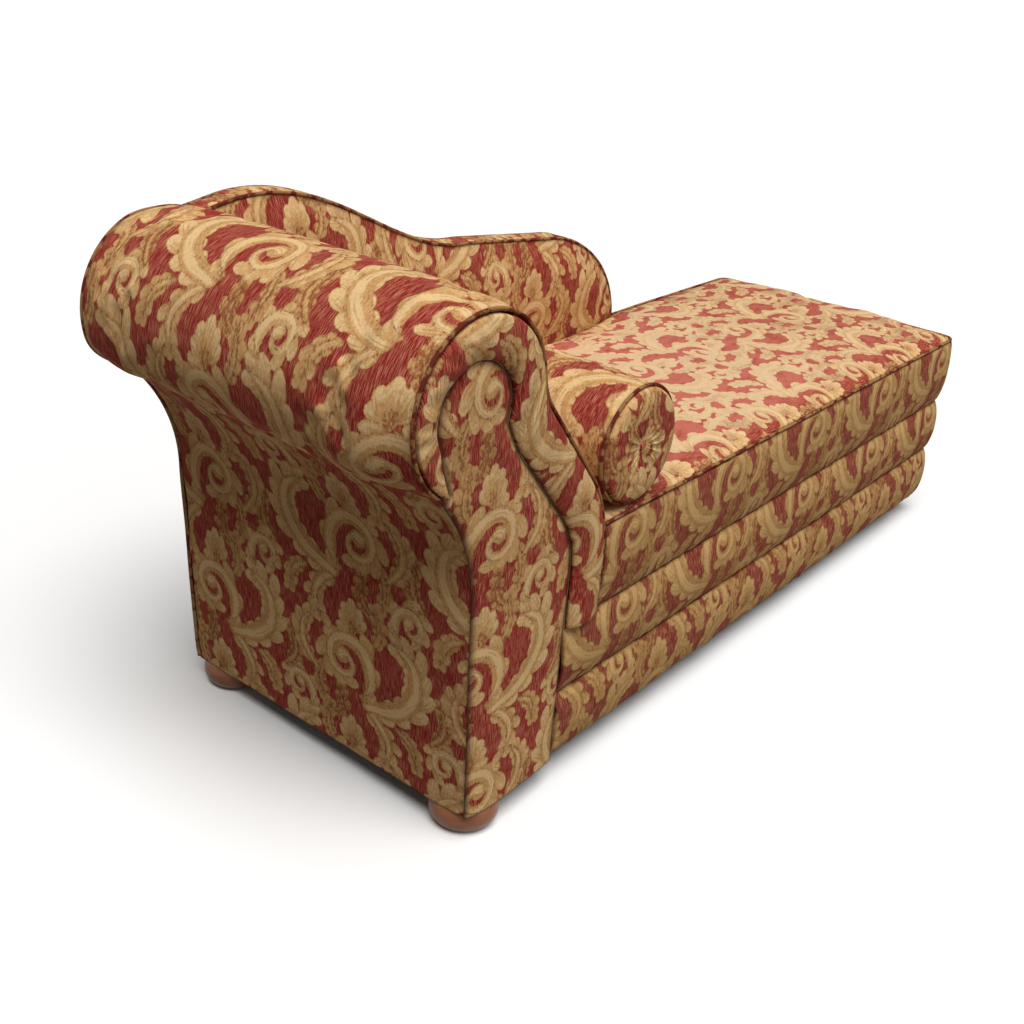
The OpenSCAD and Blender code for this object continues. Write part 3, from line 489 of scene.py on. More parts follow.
def rgb(r, g, b):
    """A display colour of 0 to 255 as scene light."""
    return tuple(((v / 255 + 0.055) / 1.055) ** 2.4 if v > 10 else v / 3294.6 for v in (r, g, b))


def dim(colour, share):
    return tuple(share * v for v in colour)


def coat(tree, shader, colour, rough, shine=0.5):
    """Gives the surface its colour, roughness and strength of reflection."""
    tree.links.new(colour, shader.inputs["Base Color"])
    put(shader, {"Roughness": rough, "Specular IOR Level": shine})


print("display grey 128 is light", round(rgb(128, 128, 128)[0], 3))

# %% [markdown]
# ## Damask material
# One function makes the cloth. It cuts the distances at zero, after noise has broken their edges up like
# weaving, and gives the figure three golds by tone, fine veins and dark contours. Pale warp threads
# streak the red ground. The base's and the seat's cloth differ in values only.

# %% Damask material
# The third colour is painted shade, laid into the cloth in the valleys along its seams.
GROUND, CONTOUR, PAINTED_SEAM_SHADE = (160, 46, 40), (98, 52, 32), (60, 28, 20)
GOLDS = ((142, 94, 54), (206, 159, 103), (235, 199, 145))
RAGGED = 0.0048  # how far, in metres, weaving moves the figure's edge


def damask(name, ground=GROUND, golds=GOLDS, grow=0.0, wear=0.0):
    """The cloth; `grow` widens its gold, and `wear` fades the places marked as worn."""
    mat, tree, shader = new_material(name)
    times = lambda a, b: maths(tree, "MULTIPLY", a, b)
    without = lambda a: maths(tree, "SUBTRACT", 1.0, a)
    red = rgb(*ground)
    dull, middle, pale = (rgb(*gold) for gold in golds)
    split = tree.nodes.new("ShaderNodeSeparateXYZ")
    tree.links.new(attribute(tree, "pattern", "Vector"), split.inputs[0])
    to_edge, to_lobe, own_tone = split.outputs
    uv_map = tree.nodes.new("ShaderNodeUVMap")
    uv_map.uv_map = "cloth"
    uv = uv_map.outputs[0]
    brush = noise(tree, uv, 300, (1, 0.4, 1), 3, 0.65)
    streak = noise(tree, uv, 1050, (1, 0.045, 1), 2, 0.5)
    fine = noise(tree, uv, 1300, (1, 0.22, 1), 2, 0.6)
    patch = noise(tree, uv, 45, (1, 0.5, 1), 3, 0.6)
    ragged = maths(tree, "MULTIPLY_ADD", brush, RAGGED, grow - RAGGED / 2)
    edge = maths(tree, "ADD", to_edge, ragged)
    inner = maths(tree, "ADD", to_lobe, times(ragged, 0.5))

    base = blend(tree, step(tree, fine, 0.50, 0.30), dim(red, 0.42), red)
    light = times(step(tree, streak, 0.54, 0.10), step(tree, patch, 0.36, 0.3))
    base = blend(tree, times(light, 0.66), base, rgb(206, 136, 106))

    tone = maths(tree, "MULTIPLY_ADD", brush, 1.5, maths(tree, "SUBTRACT", own_tone, 0.75))
    gold = blend(tree, step(tree, tone, 0.25, 0.4), dull, middle)
    gold = blend(tree, step(tree, tone, 0.75, 0.5), gold, pale)
    thread = without(step(tree, fine, 0.46, 0.3))
    gold = blend(tree, times(thread, 0.42), gold, dim(middle, 0.55))
    speckle = times(step(tree, fine, 0.54, 0.08), without(step(tree, tone, 0.32, 0.3)))
    gold = blend(tree, times(speckle, 0.8), gold, red)
    ripple = maths(tree, "MULTIPLY_ADD", attribute(tree, "vein"), 1000.0, times(patch, 5.0))
    veined = step(tree, noise(tree, uv, 26), 0.52, 0.14)
    vein = times(step(tree, maths(tree, "SINE", ripple), 0.55, 0.8), veined)
    gold = blend(tree, times(vein, 0.40), gold, dull)
    strength = maths(tree, "MULTIPLY_ADD", step(tree, to_edge, 0.0022, 0.0022), 0.50, 0.18)
    contour = times(without(step(tree, inner, 0.0013, 0.0014)), strength)
    gold = blend(tree, times(contour, step(tree, patch, 0.36, 0.2)), gold, rgb(*CONTOUR))

    figure = step(tree, edge, 0.0, 0.0009)
    colour = blend(tree, figure, base, gold)
    if wear:
        worn_red = blend(tree, thread, rgb(204, 118, 100), rgb(182, 96, 82))
        worn_gold = blend(tree, thread, rgb(228, 198, 158), rgb(208, 172, 130))
        bare = maths(tree, "ADD", step(tree, patch, 0.5, 0.5), 0.45)
        share = maths(tree, "MULTIPLY", attribute(tree, "wear"), bare, clamp=True)
        colour = blend(tree, times(share, wear), colour, blend(tree, figure, worn_red, worn_gold))
    # Painted shade: the cloth darkens near its seams and stands in for shadow in their valleys.
    colour = blend(tree, attribute(tree, "seam"), colour, rgb(*PAINTED_SEAM_SHADE))
    coat(tree, shader, colour, 0.85, 0.12)
    bump = tree.nodes.new("ShaderNodeBump")
    put(bump, {"Strength": 0.4, "Distance": 0.0007})
    raised = times(step(tree, edge, 0.0, 0.0020), 0.6)
    tree.links.new(maths(tree, "ADD", raised, times(fine, 0.6)), bump.inputs["Height"])
    tree.links.new(bump.outputs[0], shader.inputs["Normal"])
    return mat


cloth = damask("damask cloth", grow=0.0002)
base_cloth = damask("damask base", (140, 54, 42), ((136, 91, 52), (187, 143, 89), (213, 175, 118)), 0.0016)
seat_cloth = damask("damask seat", wear=0.85, grow=-0.0006)
print("materials", cloth.name, base_cloth.name, seat_cloth.name)

# %% [markdown]
# ## Plain materials
# What lies inside is seldom seen, so it gets one colour broken up by noise. The welts are too thin to
# show the figure, so they get ragged patches of its two colours.

# %% Plain materials
def plain(name, colour, rough, scale=(1, 1, 1), dark=0.8, size=60.0):
    """A colour broken up by noise in object coordinates."""
    mat, tree, shader = new_material(name)
    where = tree.nodes.new("ShaderNodeTexCoord").outputs["Object"]
    share = step(tree, noise(tree, where, size, scale, 3.0), 0.5, 0.5)
    coat(tree, shader, blend(tree, share, dim(rgb(*colour), dark), rgb(*colour)), rough)
    return mat


def mottled(name, light, deep, size):
    """The damask seen on a thin cord: ragged patches of its two colours."""
    mat, tree, shader = new_material(name)
    where = tree.nodes.new("ShaderNodeTexCoord").outputs["Object"]
    patch = step(tree, noise(tree, where, size, detail=3.0, rough=0.6), 0.48, 0.10)
    thread = step(tree, noise(tree, where, 900.0, (1, 1, 0.4)), 0.5, 0.4)
    warm = blend(tree, thread, dim(rgb(*light), 0.7), rgb(*light))
    coat(tree, shader, blend(tree, patch, rgb(*deep), warm), 0.9, 0.1)
    return mat


welt_cloth = mottled("welt cloth", (168, 122, 78), (104, 40, 30), 40.0)
PLAIN = (  # name, colour, roughness, options, CAD nodes
    ("frame wood", (196, 160, 112), 0.6, dict(scale=(0.08, 1, 1)),
     ("front_rail", "rear_rail", "head_rail", "foot_rail", "corner_blocks", "cross_bearers",
      "seat_end_rail", "arm_battens")),
    ("plywood", (182, 142, 96), 0.65, dict(scale=(1, 1, 12)),
     ("scroll_board_front", "scroll_board_rear", "back_board")),
    ("webbing", (150, 132, 92), 0.9, {}, ("cross_webbing", "long_webbing")),
    ("hessian", (168, 142, 98), 0.95, {}, ("seat_hessian",)),
    ("dust cloth", (38, 36, 36), 0.95, {}, ("dust_cover",)),
    ("lining board", (140, 112, 82), 0.8, {}, ("arm_lining",)),
    ("foam", (226, 208, 150), 0.9, {}, ("arm_foam", "seat_foam", "back_foam")),
    ("fibre filling", (232, 228, 214), 0.95, {}, ("bolster_core",)),
    ("foot wood", (150, 84, 40), 0.35, dict(scale=(1, 1, 6), dark=0.6, size=24.0),
     ("foot_head_front", "foot_head_rear", "foot_end_front", "foot_end_rear")),
    ("bolt steel", (168, 168, 170), 0.4, {}, ("foot_bolts",)),
)
for name, colour, rough, options, wearers in PLAIN:
    mat = plain(name, colour, rough, **options)
    for node in wearers:
        mesh = nodes[node].data
        mesh.materials.clear()
        mesh.materials.append(mat)
put(bpy.data.materials["bolt steel"].node_tree.nodes["Principled BSDF"], {"Metallic": 1.0})
print("CAD nodes dressed", sum(len(row[-1]) for row in PLAIN))

# %% [markdown]
# ## Making a cover
# An upholsterer sews a panel's edges and turns them in. `cover` does the same to a grid: it draws its
# sides in at the seams, turns a hem behind them and reads the damask at its UVs. The piece rides on its
# body and replaces its CAD solid.

# %% Cover maker
MID = 0.7785  # the CAD source counts lengths from the outside arm cloth; the frame, from its middle


def cover(name, p, uv, out, node, sides=(), body="couch", mat=None, fill=0.7, hem=0.006, offset=(0, 0),
          extra=None, dark=(0.5, 0.5, 0.5, 0.5), painted_shade_zone=0.0026, **tucks):
    """One cover; `dark` paints shade by its four sides, `offset` moves the figure, and `fill` is not used.
    """
    # The `dark` shares paint shade into the cloth near each drawn-in side, where the seam's valley falls in
    # shadow.
    seam = np.zeros(p.shape[:2])
    for run, side, shade in zip(edge_runs(p), SIDES, dark):
        if side in sides:
            seam = np.maximum(seam, shade * np.exp(-((run / painted_shade_zone) ** 2)))
    p, uv = hemmed(tuck(p, out, sides, **tucks), uv + np.array(offset), out, hem)
    figure = damask_at(uv.reshape(-1, 2))
    values = {"pattern": figure[:, :3], "vein": figure[:, 3]}
    for key, v in {"seam": seam, **(extra or {})}.items():
        values[key] = np.pad(v, 1, mode="edge").ravel()
    points = p.reshape(-1, 3) - np.array([MID, 0, 0])
    obj = make_mesh(name, points, quads(p, out), uv.reshape(-1, 2), values)
    obj.data.materials.append(mat or cloth)
    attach(obj, body)
    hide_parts(node)
    print(name, p.shape[0], "x", p.shape[1], "triangles", 2 * len(obj.data.polygons))


# %% [markdown]
# ## Cloth simulation
# The big covers are eased by a short cloth simulation on a coarse copy of their grid. Its sides are
# held, the cloth is a little too large and the filling presses from behind, so it pulls as stuffed cloth
# does. The movement is capped and laid over the fine grid, which is steadier than simulating it all.

# %% Simulation
COARSE, PRESSURE, SLACK, FRAMES, HELD_RIM = 0.018, 1.2, 0.012, 24, 0.035


def slack(p, out, cap, hold=None):
    """The grid moved by a coarse cloth simulation; hold marks points that don't move."""
    ds, _, dt, _ = edge_runs(p)
    rows, cols = (max(int(run.max() / COARSE), 6) for run in (ds, dt))
    ri, ci = (np.round(np.linspace(0, n - 1, k)).astype(int) for n, k in zip(p.shape, (rows, cols)))
    coarse = p[np.ix_(ri, ci)]
    obj = make_mesh("simulated", coarse.reshape(-1, 3), quads(coarse, out))
    pinned = np.zeros((rows, cols), bool)
    pinned[[0, -1]] = pinned[:, [0, -1]] = True
    if hold is not None:
        pinned |= hold[np.ix_(ri, ci)]
    held = obj.vertex_groups.new(name="held")
    held.add([int(i) for i in np.flatnonzero(pinned.ravel())], 1.0, "REPLACE")
    mod = obj.modifiers.new("Cloth", "CLOTH")
    s = mod.settings
    s.vertex_group_mass = "held"
    s.quality, s.mass = 6, 0.3
    s.tension_stiffness = s.compression_stiffness = 20
    s.shear_stiffness, s.bending_stiffness = 8, 0.6
    s.use_pressure, s.uniform_pressure_force = True, PRESSURE
    s.shrink_min = s.shrink_max = -SLACK
    s.effector_weights.gravity = 0
    mod.point_cache.frame_start, mod.point_cache.frame_end = 1, FRAMES
    scene = bpy.context.scene
    for f in range(1, FRAMES + 1):
        scene.frame_set(f)
    e = obj.evaluated_get(bpy.context.evaluated_depsgraph_get())
    co = np.zeros(rows * cols * 3, np.float32)
    e.data.vertices.foreach_get("co", co)
    move = co.reshape(rows, cols, 3) - coarse
    size = np.linalg.norm(move, axis=2, keepdims=True)
    move *= cap * np.tanh(size / cap) / (size + 1e-9)
    bpy.data.objects.remove(obj)
    scene.frame_set(1)
    most = float(np.linalg.norm(move, axis=2).max()) * 1000
    print("  simulated", rows, "x", cols, "moved at most", round(most, 1), "mm")
    near = np.minimum.reduce(edge_runs(p))
    return p + enlarge(move, p.shape[0], p.shape[1]) * smooth(near / HELD_RIM)[..., None]


# %% [markdown]
# ## The head end
# One line runs round the scroll: from the seat up the inside, over the roll and down to the crease
# under it. The arm's cover, the welts and the pleated band follow it, each at its own distance d inside
# it. Its arcs are those of the CAD's boards, so the covers fit them.

# %% Scroll lines
HEM, FOLD1, SEAT = 0.047, 0.294, 0.448
BOARD_Y, FACING_Y, BACK_IN, WELT = 0.3153, 0.3156, 0.276, 0.004
ROLL_C, ROLL_R, ROLL_A0, CREASE_A = np.array([-0.025, 0.724]), 0.133, 8.0, 238.0
HOLLOW_C, HOLLOW_R = np.array([0.215635, 0.757819]), 0.110
SWELL_C, SWELL_R = np.array([0.050, 0.395155]), 0.250
SLOPE_A, ARM_FOOT, NECK_Z, LEAN = 40.0, 0.300, 0.420, 0.017
NECK_R, NECK_RISE = 0.272174, 44.63
NECK_C = np.array([-LEAN - NECK_R, NECK_Z])
PUFF, END_ZONE = 0.017, 0.075  # how far the roll swells, and how long its ends take to get there


def arm_line(d):
    return np.vstack([[[ARM_FOOT - d, FOLD1]], arc(SWELL_C, SWELL_R - d, 0, SLOPE_A),
                      arc(HOLLOW_C, HOLLOW_R + d, 180 + SLOPE_A, 180 + ROLL_A0),
                      arc(ROLL_C, ROLL_R - d, ROLL_A0, CREASE_A, 180)[1:]])


def neck_line(d, z, a):
    return np.vstack([[[d - LEAN * (z - HEM) / (NECK_Z - HEM), z]], arc(NECK_C, NECK_R + d, 0, a)])


def roll_bulge(p):
    """How far the roll stands off points p of its line, how much is left at the rear, and their angles."""
    v = p - ROLL_C
    a = np.degrees(np.arctan2(v[:, 1], v[:, 0]))
    a = np.where(a < -90, a + 360, a)
    radial = v / np.linalg.norm(v, axis=1)[:, None]
    bulge = smooth((CREASE_A - a) / 45)[:, None] * (PUFF * radial - np.array([0.008, 0.012]))
    return bulge, 0.85 * smooth((a - 90) / 25), a


def rear_line(p):
    """The scroll line at the rear end, where the roll keeps most of its swell left of the back."""
    bulge, share, _ = roll_bulge(p)
    on = (p[:, 0] < ROLL_C[0]) & (p[:, 1] > 0.607)
    return p + bulge * (share * on)[:, None]


def roll_swell(p, y):
    """How far the cover swells at points p of the scroll line and places y across."""
    bulge, left, a = roll_bulge(p)
    beyond = np.arange(len(p)) > len(p) * 0.3
    on_roll = beyond & (np.linalg.norm(p - ROLL_C, axis=1) < ROLL_R + 0.002)
    slope = np.array([math.cos(math.radians(SLOPE_A)), math.sin(math.radians(SLOPE_A))])
    inside = (smooth((p[:, 1] - SEAT - 0.012) / SWELL_R * 2) * PUFF * 0.55)[:, None] * slope
    w = (on_roll * smooth((a - ROLL_A0) / 40))[:, None, None]
    front, rear = smooth((BOARD_Y + y) / END_ZONE), smooth((BOARD_Y - y) / END_ZONE)
    full = (front * (left[:, None] + (1 - left[:, None]) * rear))[..., None]
    ends = (np.minimum(front, rear) * smooth((BACK_IN - y) / END_ZONE))[None, :, None]
    return w * bulge[:, None] * full + (1 - w) * inside[:, None] * ends


print("scroll line", round(float(run_of(arm_line(0))[-1]), 3), "m long")

# %% [markdown]
# ## Arm cover
# One panel of cloth goes from the seat up the inside and over the roll, plumped by wadding. The swell
# is added to the scroll's line and falls off at both ends; the simulation then eases the roll.

# %% Arm cover
ARM_END = BOARD_Y + 0.0015
line = even(arm_line(0), 380)
y = np.linspace(-ARM_END, ARM_END, 258)
p = across(line[:, None] + roll_swell(line, y), y)
p = slack(p, UP, 0.005, hold=(p[..., 0] > 0.05) & (p[..., 1] > 0.25))
s = run_of(line)
cover("arm_cloth", p, grid(y, (s[-1] - s)[:, None]), UP, "arm_cover", SIDES, fill=0.8, offset=(0.05, 0.02),
      dark=(0.5, 0.4, 0.25, 0.4), depth=0.003, pucker=0.0010, wave=0.022, seed=5)

# %% [markdown]
# ## Outside arm
# Under the roll a separate panel goes down to the hem. It bows out a little and is pulled tight, so a
# few soft lumps are enough and no simulation is needed.

# %% Outside arm panel
line = even(neck_line(0, HEM, NECK_RISE), 210)
y = np.linspace(-ARM_END, ARM_END, 220)
bow = 0.004 * (1 - (2 * span(220) - 1) ** 4)
p = across(line[:, None], y)
n = outward(p, LEFT)
p = p + n * (bow[None, :, None] * smooth((line[:, 1] - HEM) / 0.08)[:, None, None] * 0.6 - 0.002)
p = p + n * (0.0012 * lumps(211, 220, (9, 9), 12))[..., None]
cover("outside_arm_cloth", p, grid(-y, line[:, 1:]), LEFT, "outside_arm_cover", ("left", "right"),
      fill=0.3, offset=(0.0, 0.1), dark=(0, 0, 0.3, 0.3), depth=0.003, zone=0.007, pucker=0.0008, seed=8)

# %% [markdown]
# ## Tongue
# The facing's middle is a padded panel in the shape of a tongue. Its grid runs between its left and
# right edges from the hem to the round top, so one rule crowns it along its whole height.

# %% Tongue of the front facing
BAND_W, TONGUE_C, TONGUE_R, ARM_TIERS = 0.085, np.array([-0.034975, 0.714956]), 0.073, 0.215
TONGUE_ROOT, TONGUE_JOIN = np.array([-0.08035, 0.6199]), np.array([0.0332, 0.68896])


def tongue_inside(e, z):
    a = 180 + math.degrees(math.atan2(HOLLOW_C[1] - TONGUE_JOIN[1], HOLLOW_C[0] - TONGUE_JOIN[0]))
    return np.vstack([[[ARM_TIERS + e, z]], arc(SWELL_C, SWELL_R - BAND_W + e, 0, SLOPE_A),
                      arc(HOLLOW_C, HOLLOW_R + BAND_W - e, 180 + SLOPE_A, a)])


v = TONGUE_JOIN - TONGUE_C
JOIN_A = math.degrees(math.atan2(v[1], v[0]))
neck = neck_line(0, HEM, NECK_RISE - 3)
left = even(np.vstack([neck, [TONGUE_ROOT], arc(TONGUE_C, TONGUE_R, 180, 91)]), 320)
right = even(np.vstack([tongue_inside(0, HEM), arc(TONGUE_C, TONGUE_R, JOIN_A + 4, 89)]), 320)
t = span(92)
q = between(left, right, t)
over_top = smooth((span(321) - 0.80) / 0.2)[:, None]
rim = np.abs(2 * t - 1)[None]
crown = (1 - rim ** (4 - 1.8 * over_top)) * (1 - over_top**4)
ray = np.degrees(np.arctan2(q[..., 1] - TONGUE_C[1], q[..., 0] - TONGUE_C[0]))
gather = np.sin(np.radians(ray * 11 + 40 * np.sin(np.radians(ray * 3)))) * smooth(over_top * 1.6) * rim**1.5
lift = 0.0010 + 0.0088 * crown + 0.0009 * gather + 0.0007 * lumps(321, 92, (14, 4), 21)
# The deep dark shares on the tongue's sides are painted shade for the valleys between it and the band.
cover("tongue_cloth", across(q, -FACING_Y - np.maximum(lift, 0.0012)), q, FRONT, "tongue_facing",
      ("left", "right"), fill=0.5, hem=0.001, offset=(0.075, 0.02), dark=(0, 0, 0.9, 0.85),
      painted_shade_zone=0.0085, depth=0.0006, zone=0.005, pucker=0.0003, seed=14)

# %% [markdown]
# ## Pleated band
# A crowned band follows the scroll at its outer edge and is drawn in round the tongue by pleats. Each
# pleat is a dent that deepens inwards and wanders a little, as hand-set pleats do. Folded layers would
# need a far finer grid.

# %% Pleated band round the scroll
BAND_N, PLEATS = 560, 14


def uneven(wave, seed):
    return wander(BAND_N + 1, 1.0, wave, seed)[:, None]


outer = even(arm_line(2 * WELT), BAND_N)
inner = even(np.vstack([tongue_inside(0, FOLD1), arc(TONGUE_C, TONGUE_R, JOIN_A + 6, 176),
                        [TONGUE_ROOT - (0.003, 0)]]), BAND_N)
t, u = span(56), span(BAND_N + 1)[:, None]
flat = smooth((u - 0.70) / 0.14)
q = between(outer, inner, t + 0.05 * np.sin(np.pi * t**5) * (1 - flat))
fan = smooth((u - 0.30) * 5) * smooth((1 - u) * 8)
phase = 360 * PLEATS * u + 40 * uneven(0.1, 33) + 30 * t
fold = (0.5 - 0.5 * np.cos(np.radians(phase))) ** 1.5 * (0.7 + 0.3 * uneven(0.07, 34))
crease = np.sin(np.radians(2.6 * phase + 70 * uneven(0.05, 35))) * np.sin(np.pi * np.minimum(t * 1.3, 1))
depth = 0.0078 * fan * t**1.4 * fold * (1 - 0.5 * t**4) + 0.0007 * fan * crease
lift = (0.0075 * (1 - t) * (0.15 + 0.85 * smooth(t / 0.05)) + 0.0010 * t
        + 0.0138 * np.sin(np.pi * t**1.25) ** 0.55 * (1 - 0.4 * flat))
cover("band_cloth", across(q, -FACING_Y - np.maximum(lift - depth, 0.001)), q, FRONT, "pleated_band",
      ("start", "left", "right"), fill=0.8, hem=0.001, offset=(0.19, 0.31), dark=(0.2, 0, 0.25, 0.7),
      painted_shade_zone=0.0035, depth=0.0020, zone=0.005, pucker=0.0005, wave=0.012, seed=44)

# %% [markdown]
# ## Rear facing
# The roll's rear end is guessed to be one plain panel. It is a grid between two edges, like the tongue,
# and thins out at its upper end, where it meets the back.

# %% Rear scroll facing
d = 2 * WELT
left = even(np.vstack([neck, [TONGUE_ROOT], rear_line(arc(ROLL_C, ROLL_R - d, CREASE_A - 6, 91))]), 170)
right = even(np.vstack([[[ARM_FOOT - d, HEM]], arm_line(d)[:-180],
                        arc(ROLL_C, ROLL_R - d, ROLL_A0 + 3, 89)]), 170)
t = span(60)
q = between(left, right, t)
lift = 0.0075 + 0.010 * (1 - (2 * t - 1) ** 4)
top_end = 0.3 + 0.7 * smooth((1 - span(171)) / 0.07)[:, None]
p = across(q, FACING_Y + lift * top_end + 0.0008 * top_end * lumps(171, 60, (10, 4), 51))
cover("rear_facing_cloth", p, q * (-1, 1), REAR, "rear_scroll_facing", SIDES, fill=0.5, offset=(0.12, 0.2),
      depth=0.003, pucker=0.0006, seed=52)

# %% [markdown]
# ## The base
# Two padded tiers and the seat border run round the base. Each is one profile on one path, round the
# front, the foot end and the rear, so the damask goes round the corners without a break.

# %% Base path and tiers
FOLD2, SEAT_CORE, SEAT_TOP, SEAM = 0.170, 0.4437, 0.444, 0.0003
BASE_L, HALF_W, CORNER_R, BACK_END, SEAT_X, WELT_INSET = 1.740, 0.325, 0.036, 1.212, 0.3003, 0.005


def base_path(front_x, rear_x, n):
    """Points and outward directions, seen from above, along the front, the foot end and the rear."""
    cx, cy = BASE_L - CORNER_R, HALF_W - CORNER_R
    a, b = circle(angles(-90, 0, 20)), circle(angles(0, 90, 20))
    p = np.vstack([[[front_x, -HALF_W]], (cx, -cy) + CORNER_R * a, (cx, cy) + CORNER_R * b,
                   [[rear_x, HALF_W]]])
    out = even(p, n, np.vstack([[[0, -1]], a, b, [[0, 1]]]))
    return even(p, n), out / np.linalg.norm(out, axis=1)[:, None], np.linspace(0, run_of(p)[-1], n + 1)


def tier(name, node, z0, z1, x0, top, seed, offset):
    """A padded tier from z0 to z1, whose upper seam lies `top` inside its middle."""
    path, out, s = base_path(x0, BACK_END, 980)
    t = span(50)
    u = 2 * t - 1
    sag = 0.0009 * wander(981, s[-1], 0.10, seed)[:, None] * np.sin(np.pi * t)
    inset = np.where(u < 0, 0.011, top) * np.abs(u) ** 2.2 - sag
    q = path[:, None] - out[:, None] * inset[..., None]
    z = z0 + (z1 - z0) * t
    cover(name, grid(q[..., 0], q[..., 1], z), grid(s[:, None], z), (1, -1, 0), node, SIDES, mat=base_cloth,
          fill=0.6, offset=offset, depth=0.0022, zone=0.007, pucker=0.0012, wave=0.018, seed=seed + 3)


tier("lower_tier_cloth", "lower_tier", HEM, FOLD2 - SEAM, ARM_TIERS, 0.011, 61, (0.10, 0.07))
tier("upper_tier_cloth", "upper_tier", FOLD2, FOLD1 - SEAM, ARM_TIERS, 0.011, 71, (0.25, 0.27))
tier("border_cloth", "seat_border", FOLD1, SEAT_CORE, SEAT_X, WELT_INSET, 81, (0.02, 0.13))

# %% [markdown]
# ## The seat
# The seat's cloth is crowned over its foam and worn pale where people sit. The crown is a rule, the
# simulation adds soft unevenness, and the wear is carried at the points for the material to read.

# %% Seat cover
RAIL_END, SEAT_CORNER, SEAT_N = BASE_L - CORNER_R, 0.0227, 212
NOSE_PLAN, BACK_T, NOSE_T = 0.929604, 0.049, 0.014


def back_plan(x):
    """How far across the back's inner face stands, at the places x along."""
    return BACK_IN + (BACK_T - NOSE_T) * np.clip((x - NOSE_PLAN) / (BACK_END - NOSE_PLAN), 0, 1) ** 2.2


seat_end = RAIL_END + SEAT_CORNER
x = np.r_[np.linspace(SEAT_X, RAIL_END, 446)[:-1], RAIL_END + SEAT_CORNER * np.sin(angles(0, 90, 22))]
t = 0.5 - 0.5 * np.cos(np.pi * span(SEAT_N))
t = 0.35 * t + 0.65 * span(SEAT_N)
edge_y = HALF_W - CORNER_R + np.sqrt(np.maximum(SEAT_CORNER**2 - np.maximum(x - RAIL_END, 0) ** 2, 0))
rear = np.where(x > BACK_END, edge_y, back_plan(x) - 0.0008)
y = -edge_y[:, None] + (rear + edge_y)[:, None] * t
crown = 1 - (2 * t - 1) ** 4
end = (1 - np.clip(1 - (seat_end - x) / 0.132, 0, 1) ** 4)[:, None]
x = x[:, None]
rise = smooth((x - SEAT_X) / (BASE_L - SEAT_X) / 0.35)
p = slack(grid(x, y, SEAT_TOP + 0.006 + 0.022 * rise * crown * end), UP, 0.0032)
bumps = 0.0016 * lumps(len(x), SEAT_N, (16, 7), 101) * smooth(crown) * smooth(end)
p = p + outward(p, UP) * bumps[..., None]
sat_on = smooth(1.15 - np.abs((x - SEAT_X) / 0.62 - 0.9))
wear = (0.45 + 0.55 * sat_on) * smooth(crown * 1.2) * smooth(end)
cover("seat_cloth", p, grid(-y, x) * 1.12, UP, "seat_top_cover", SIDES, mat=seat_cloth, offset=(0.08, 0.22),
      extra={"wear": wear}, dark=(0.5, 0.15, 0.4, 0.15), depth=0.0025, zone=0.008, pucker=0.0010,
      wave=0.025, seed=103)

# %% [markdown]
# ## The serpentine back
# The back's top starts on the roll, peaks behind it, dips and ends in a round nose. All three of its
# covers and its welt share this one line, drawn by height so that the photo's wave is easy to match.

# %% Back lines
NOSE_X, DIP_X, PEAK_X = 0.900516, 0.64236, 0.1212
PEAK_H, DIP_H, NOSE_H = 0.866, 0.712, 0.683


def top_z(x):
    """Height of the back's top at the places x along, up to its nose."""
    r = ROLL_R + 0.004
    drop = r - np.sqrt(np.maximum(r**2 - np.minimum(x + 0.025, 0) ** 2, 0))
    a = ROLL_C[1] + ROLL_R + (PEAK_H - ROLL_C[1] - ROLL_R) * smooth((x + 0.025) / (PEAK_X + 0.025))
    a = a - 0.007 * smooth((0.10 - x) / 0.11) - drop
    b = DIP_H + (PEAK_H - DIP_H) * (0.5 + 0.5 * np.cos(np.pi * (x - PEAK_X) / (DIP_X - PEAK_X)))
    c = DIP_H + (NOSE_H - DIP_H) * (x - DIP_X) / (NOSE_X - DIP_X)
    return np.where(x < PEAK_X, a, np.where(x < DIP_X, b, c))


def fade(t, k):
    """1 in the middle of t and 0 at both its ends."""
    return smooth(np.minimum(t, 1 - t) * k)


a = angles(0, 90, 90)
nose_x = NOSE_X + (BACK_END - NOSE_X) * np.sin(a) ** 1.25
nose = np.stack([nose_x, SEAT + (NOSE_H - SEAT) * np.cos(a) ** 1.25], 1)
x = np.linspace(-0.062, NOSE_X, 240)
back_top = even(np.vstack([np.stack([x, top_z(x)], 1), nose[1:]]), 500)
tangent = np.gradient(back_top, axis=0)
tangent /= np.linalg.norm(tangent, axis=1)[:, None]
back_out = np.stack([-tangent[:, 1], tangent[:, 0]], 1)
print("back top", round(float(run_of(back_top)[-1]), 3), "m long")

# %% [markdown]
# ## Inside back
# The padded inside stands on the seat and eases out to the rear along its nose. Each row of its grid
# goes from the seat up to the top line, and the simulation gives it its soft fullness.

# %% Inside back
LOW = 0.012  # how far the cover goes down behind the seat
top = even((back_top - back_out * 0.007)[back_top[:, 0] > -0.010], 480)
x, height, t = top[:, :1], top[:, 1:], span(128)
z = SEAT - LOW + (height - SEAT + LOW) * t
rise = 0.013 * smooth((z - SEAT - LOW) / 0.091) * smooth((height - z) / 0.0715)
rise = rise * smooth((BACK_END - x) / 0.195)
p = slack(grid(x, np.minimum(back_plan(x) - rise, BOARD_Y), z), FRONT, 0.004)
p = p + outward(p, FRONT) * (0.0010 * lumps(481, 128, (16, 5), 111) * fade(t, 5))[..., None]
cover("inside_back_cloth", p, grid(x, z), FRONT, "inside_back_cover", ("right",), offset=(0.21, 0.03),
      depth=0.003, zone=0.008, pucker=0.0010, wave=0.02, seed=113)

# %% [markdown]
# ## Top band and outside back
# A narrow band covers the back's thickness, over its top and round its nose. Behind it is one panel,
# which is guessed. Both are nearly flat, so they get seams and soft lumps only.

# %% Top band and outside back
def welt_y(x):
    return np.minimum(back_plan(x) + WELT, HALF_W - 0.0103)


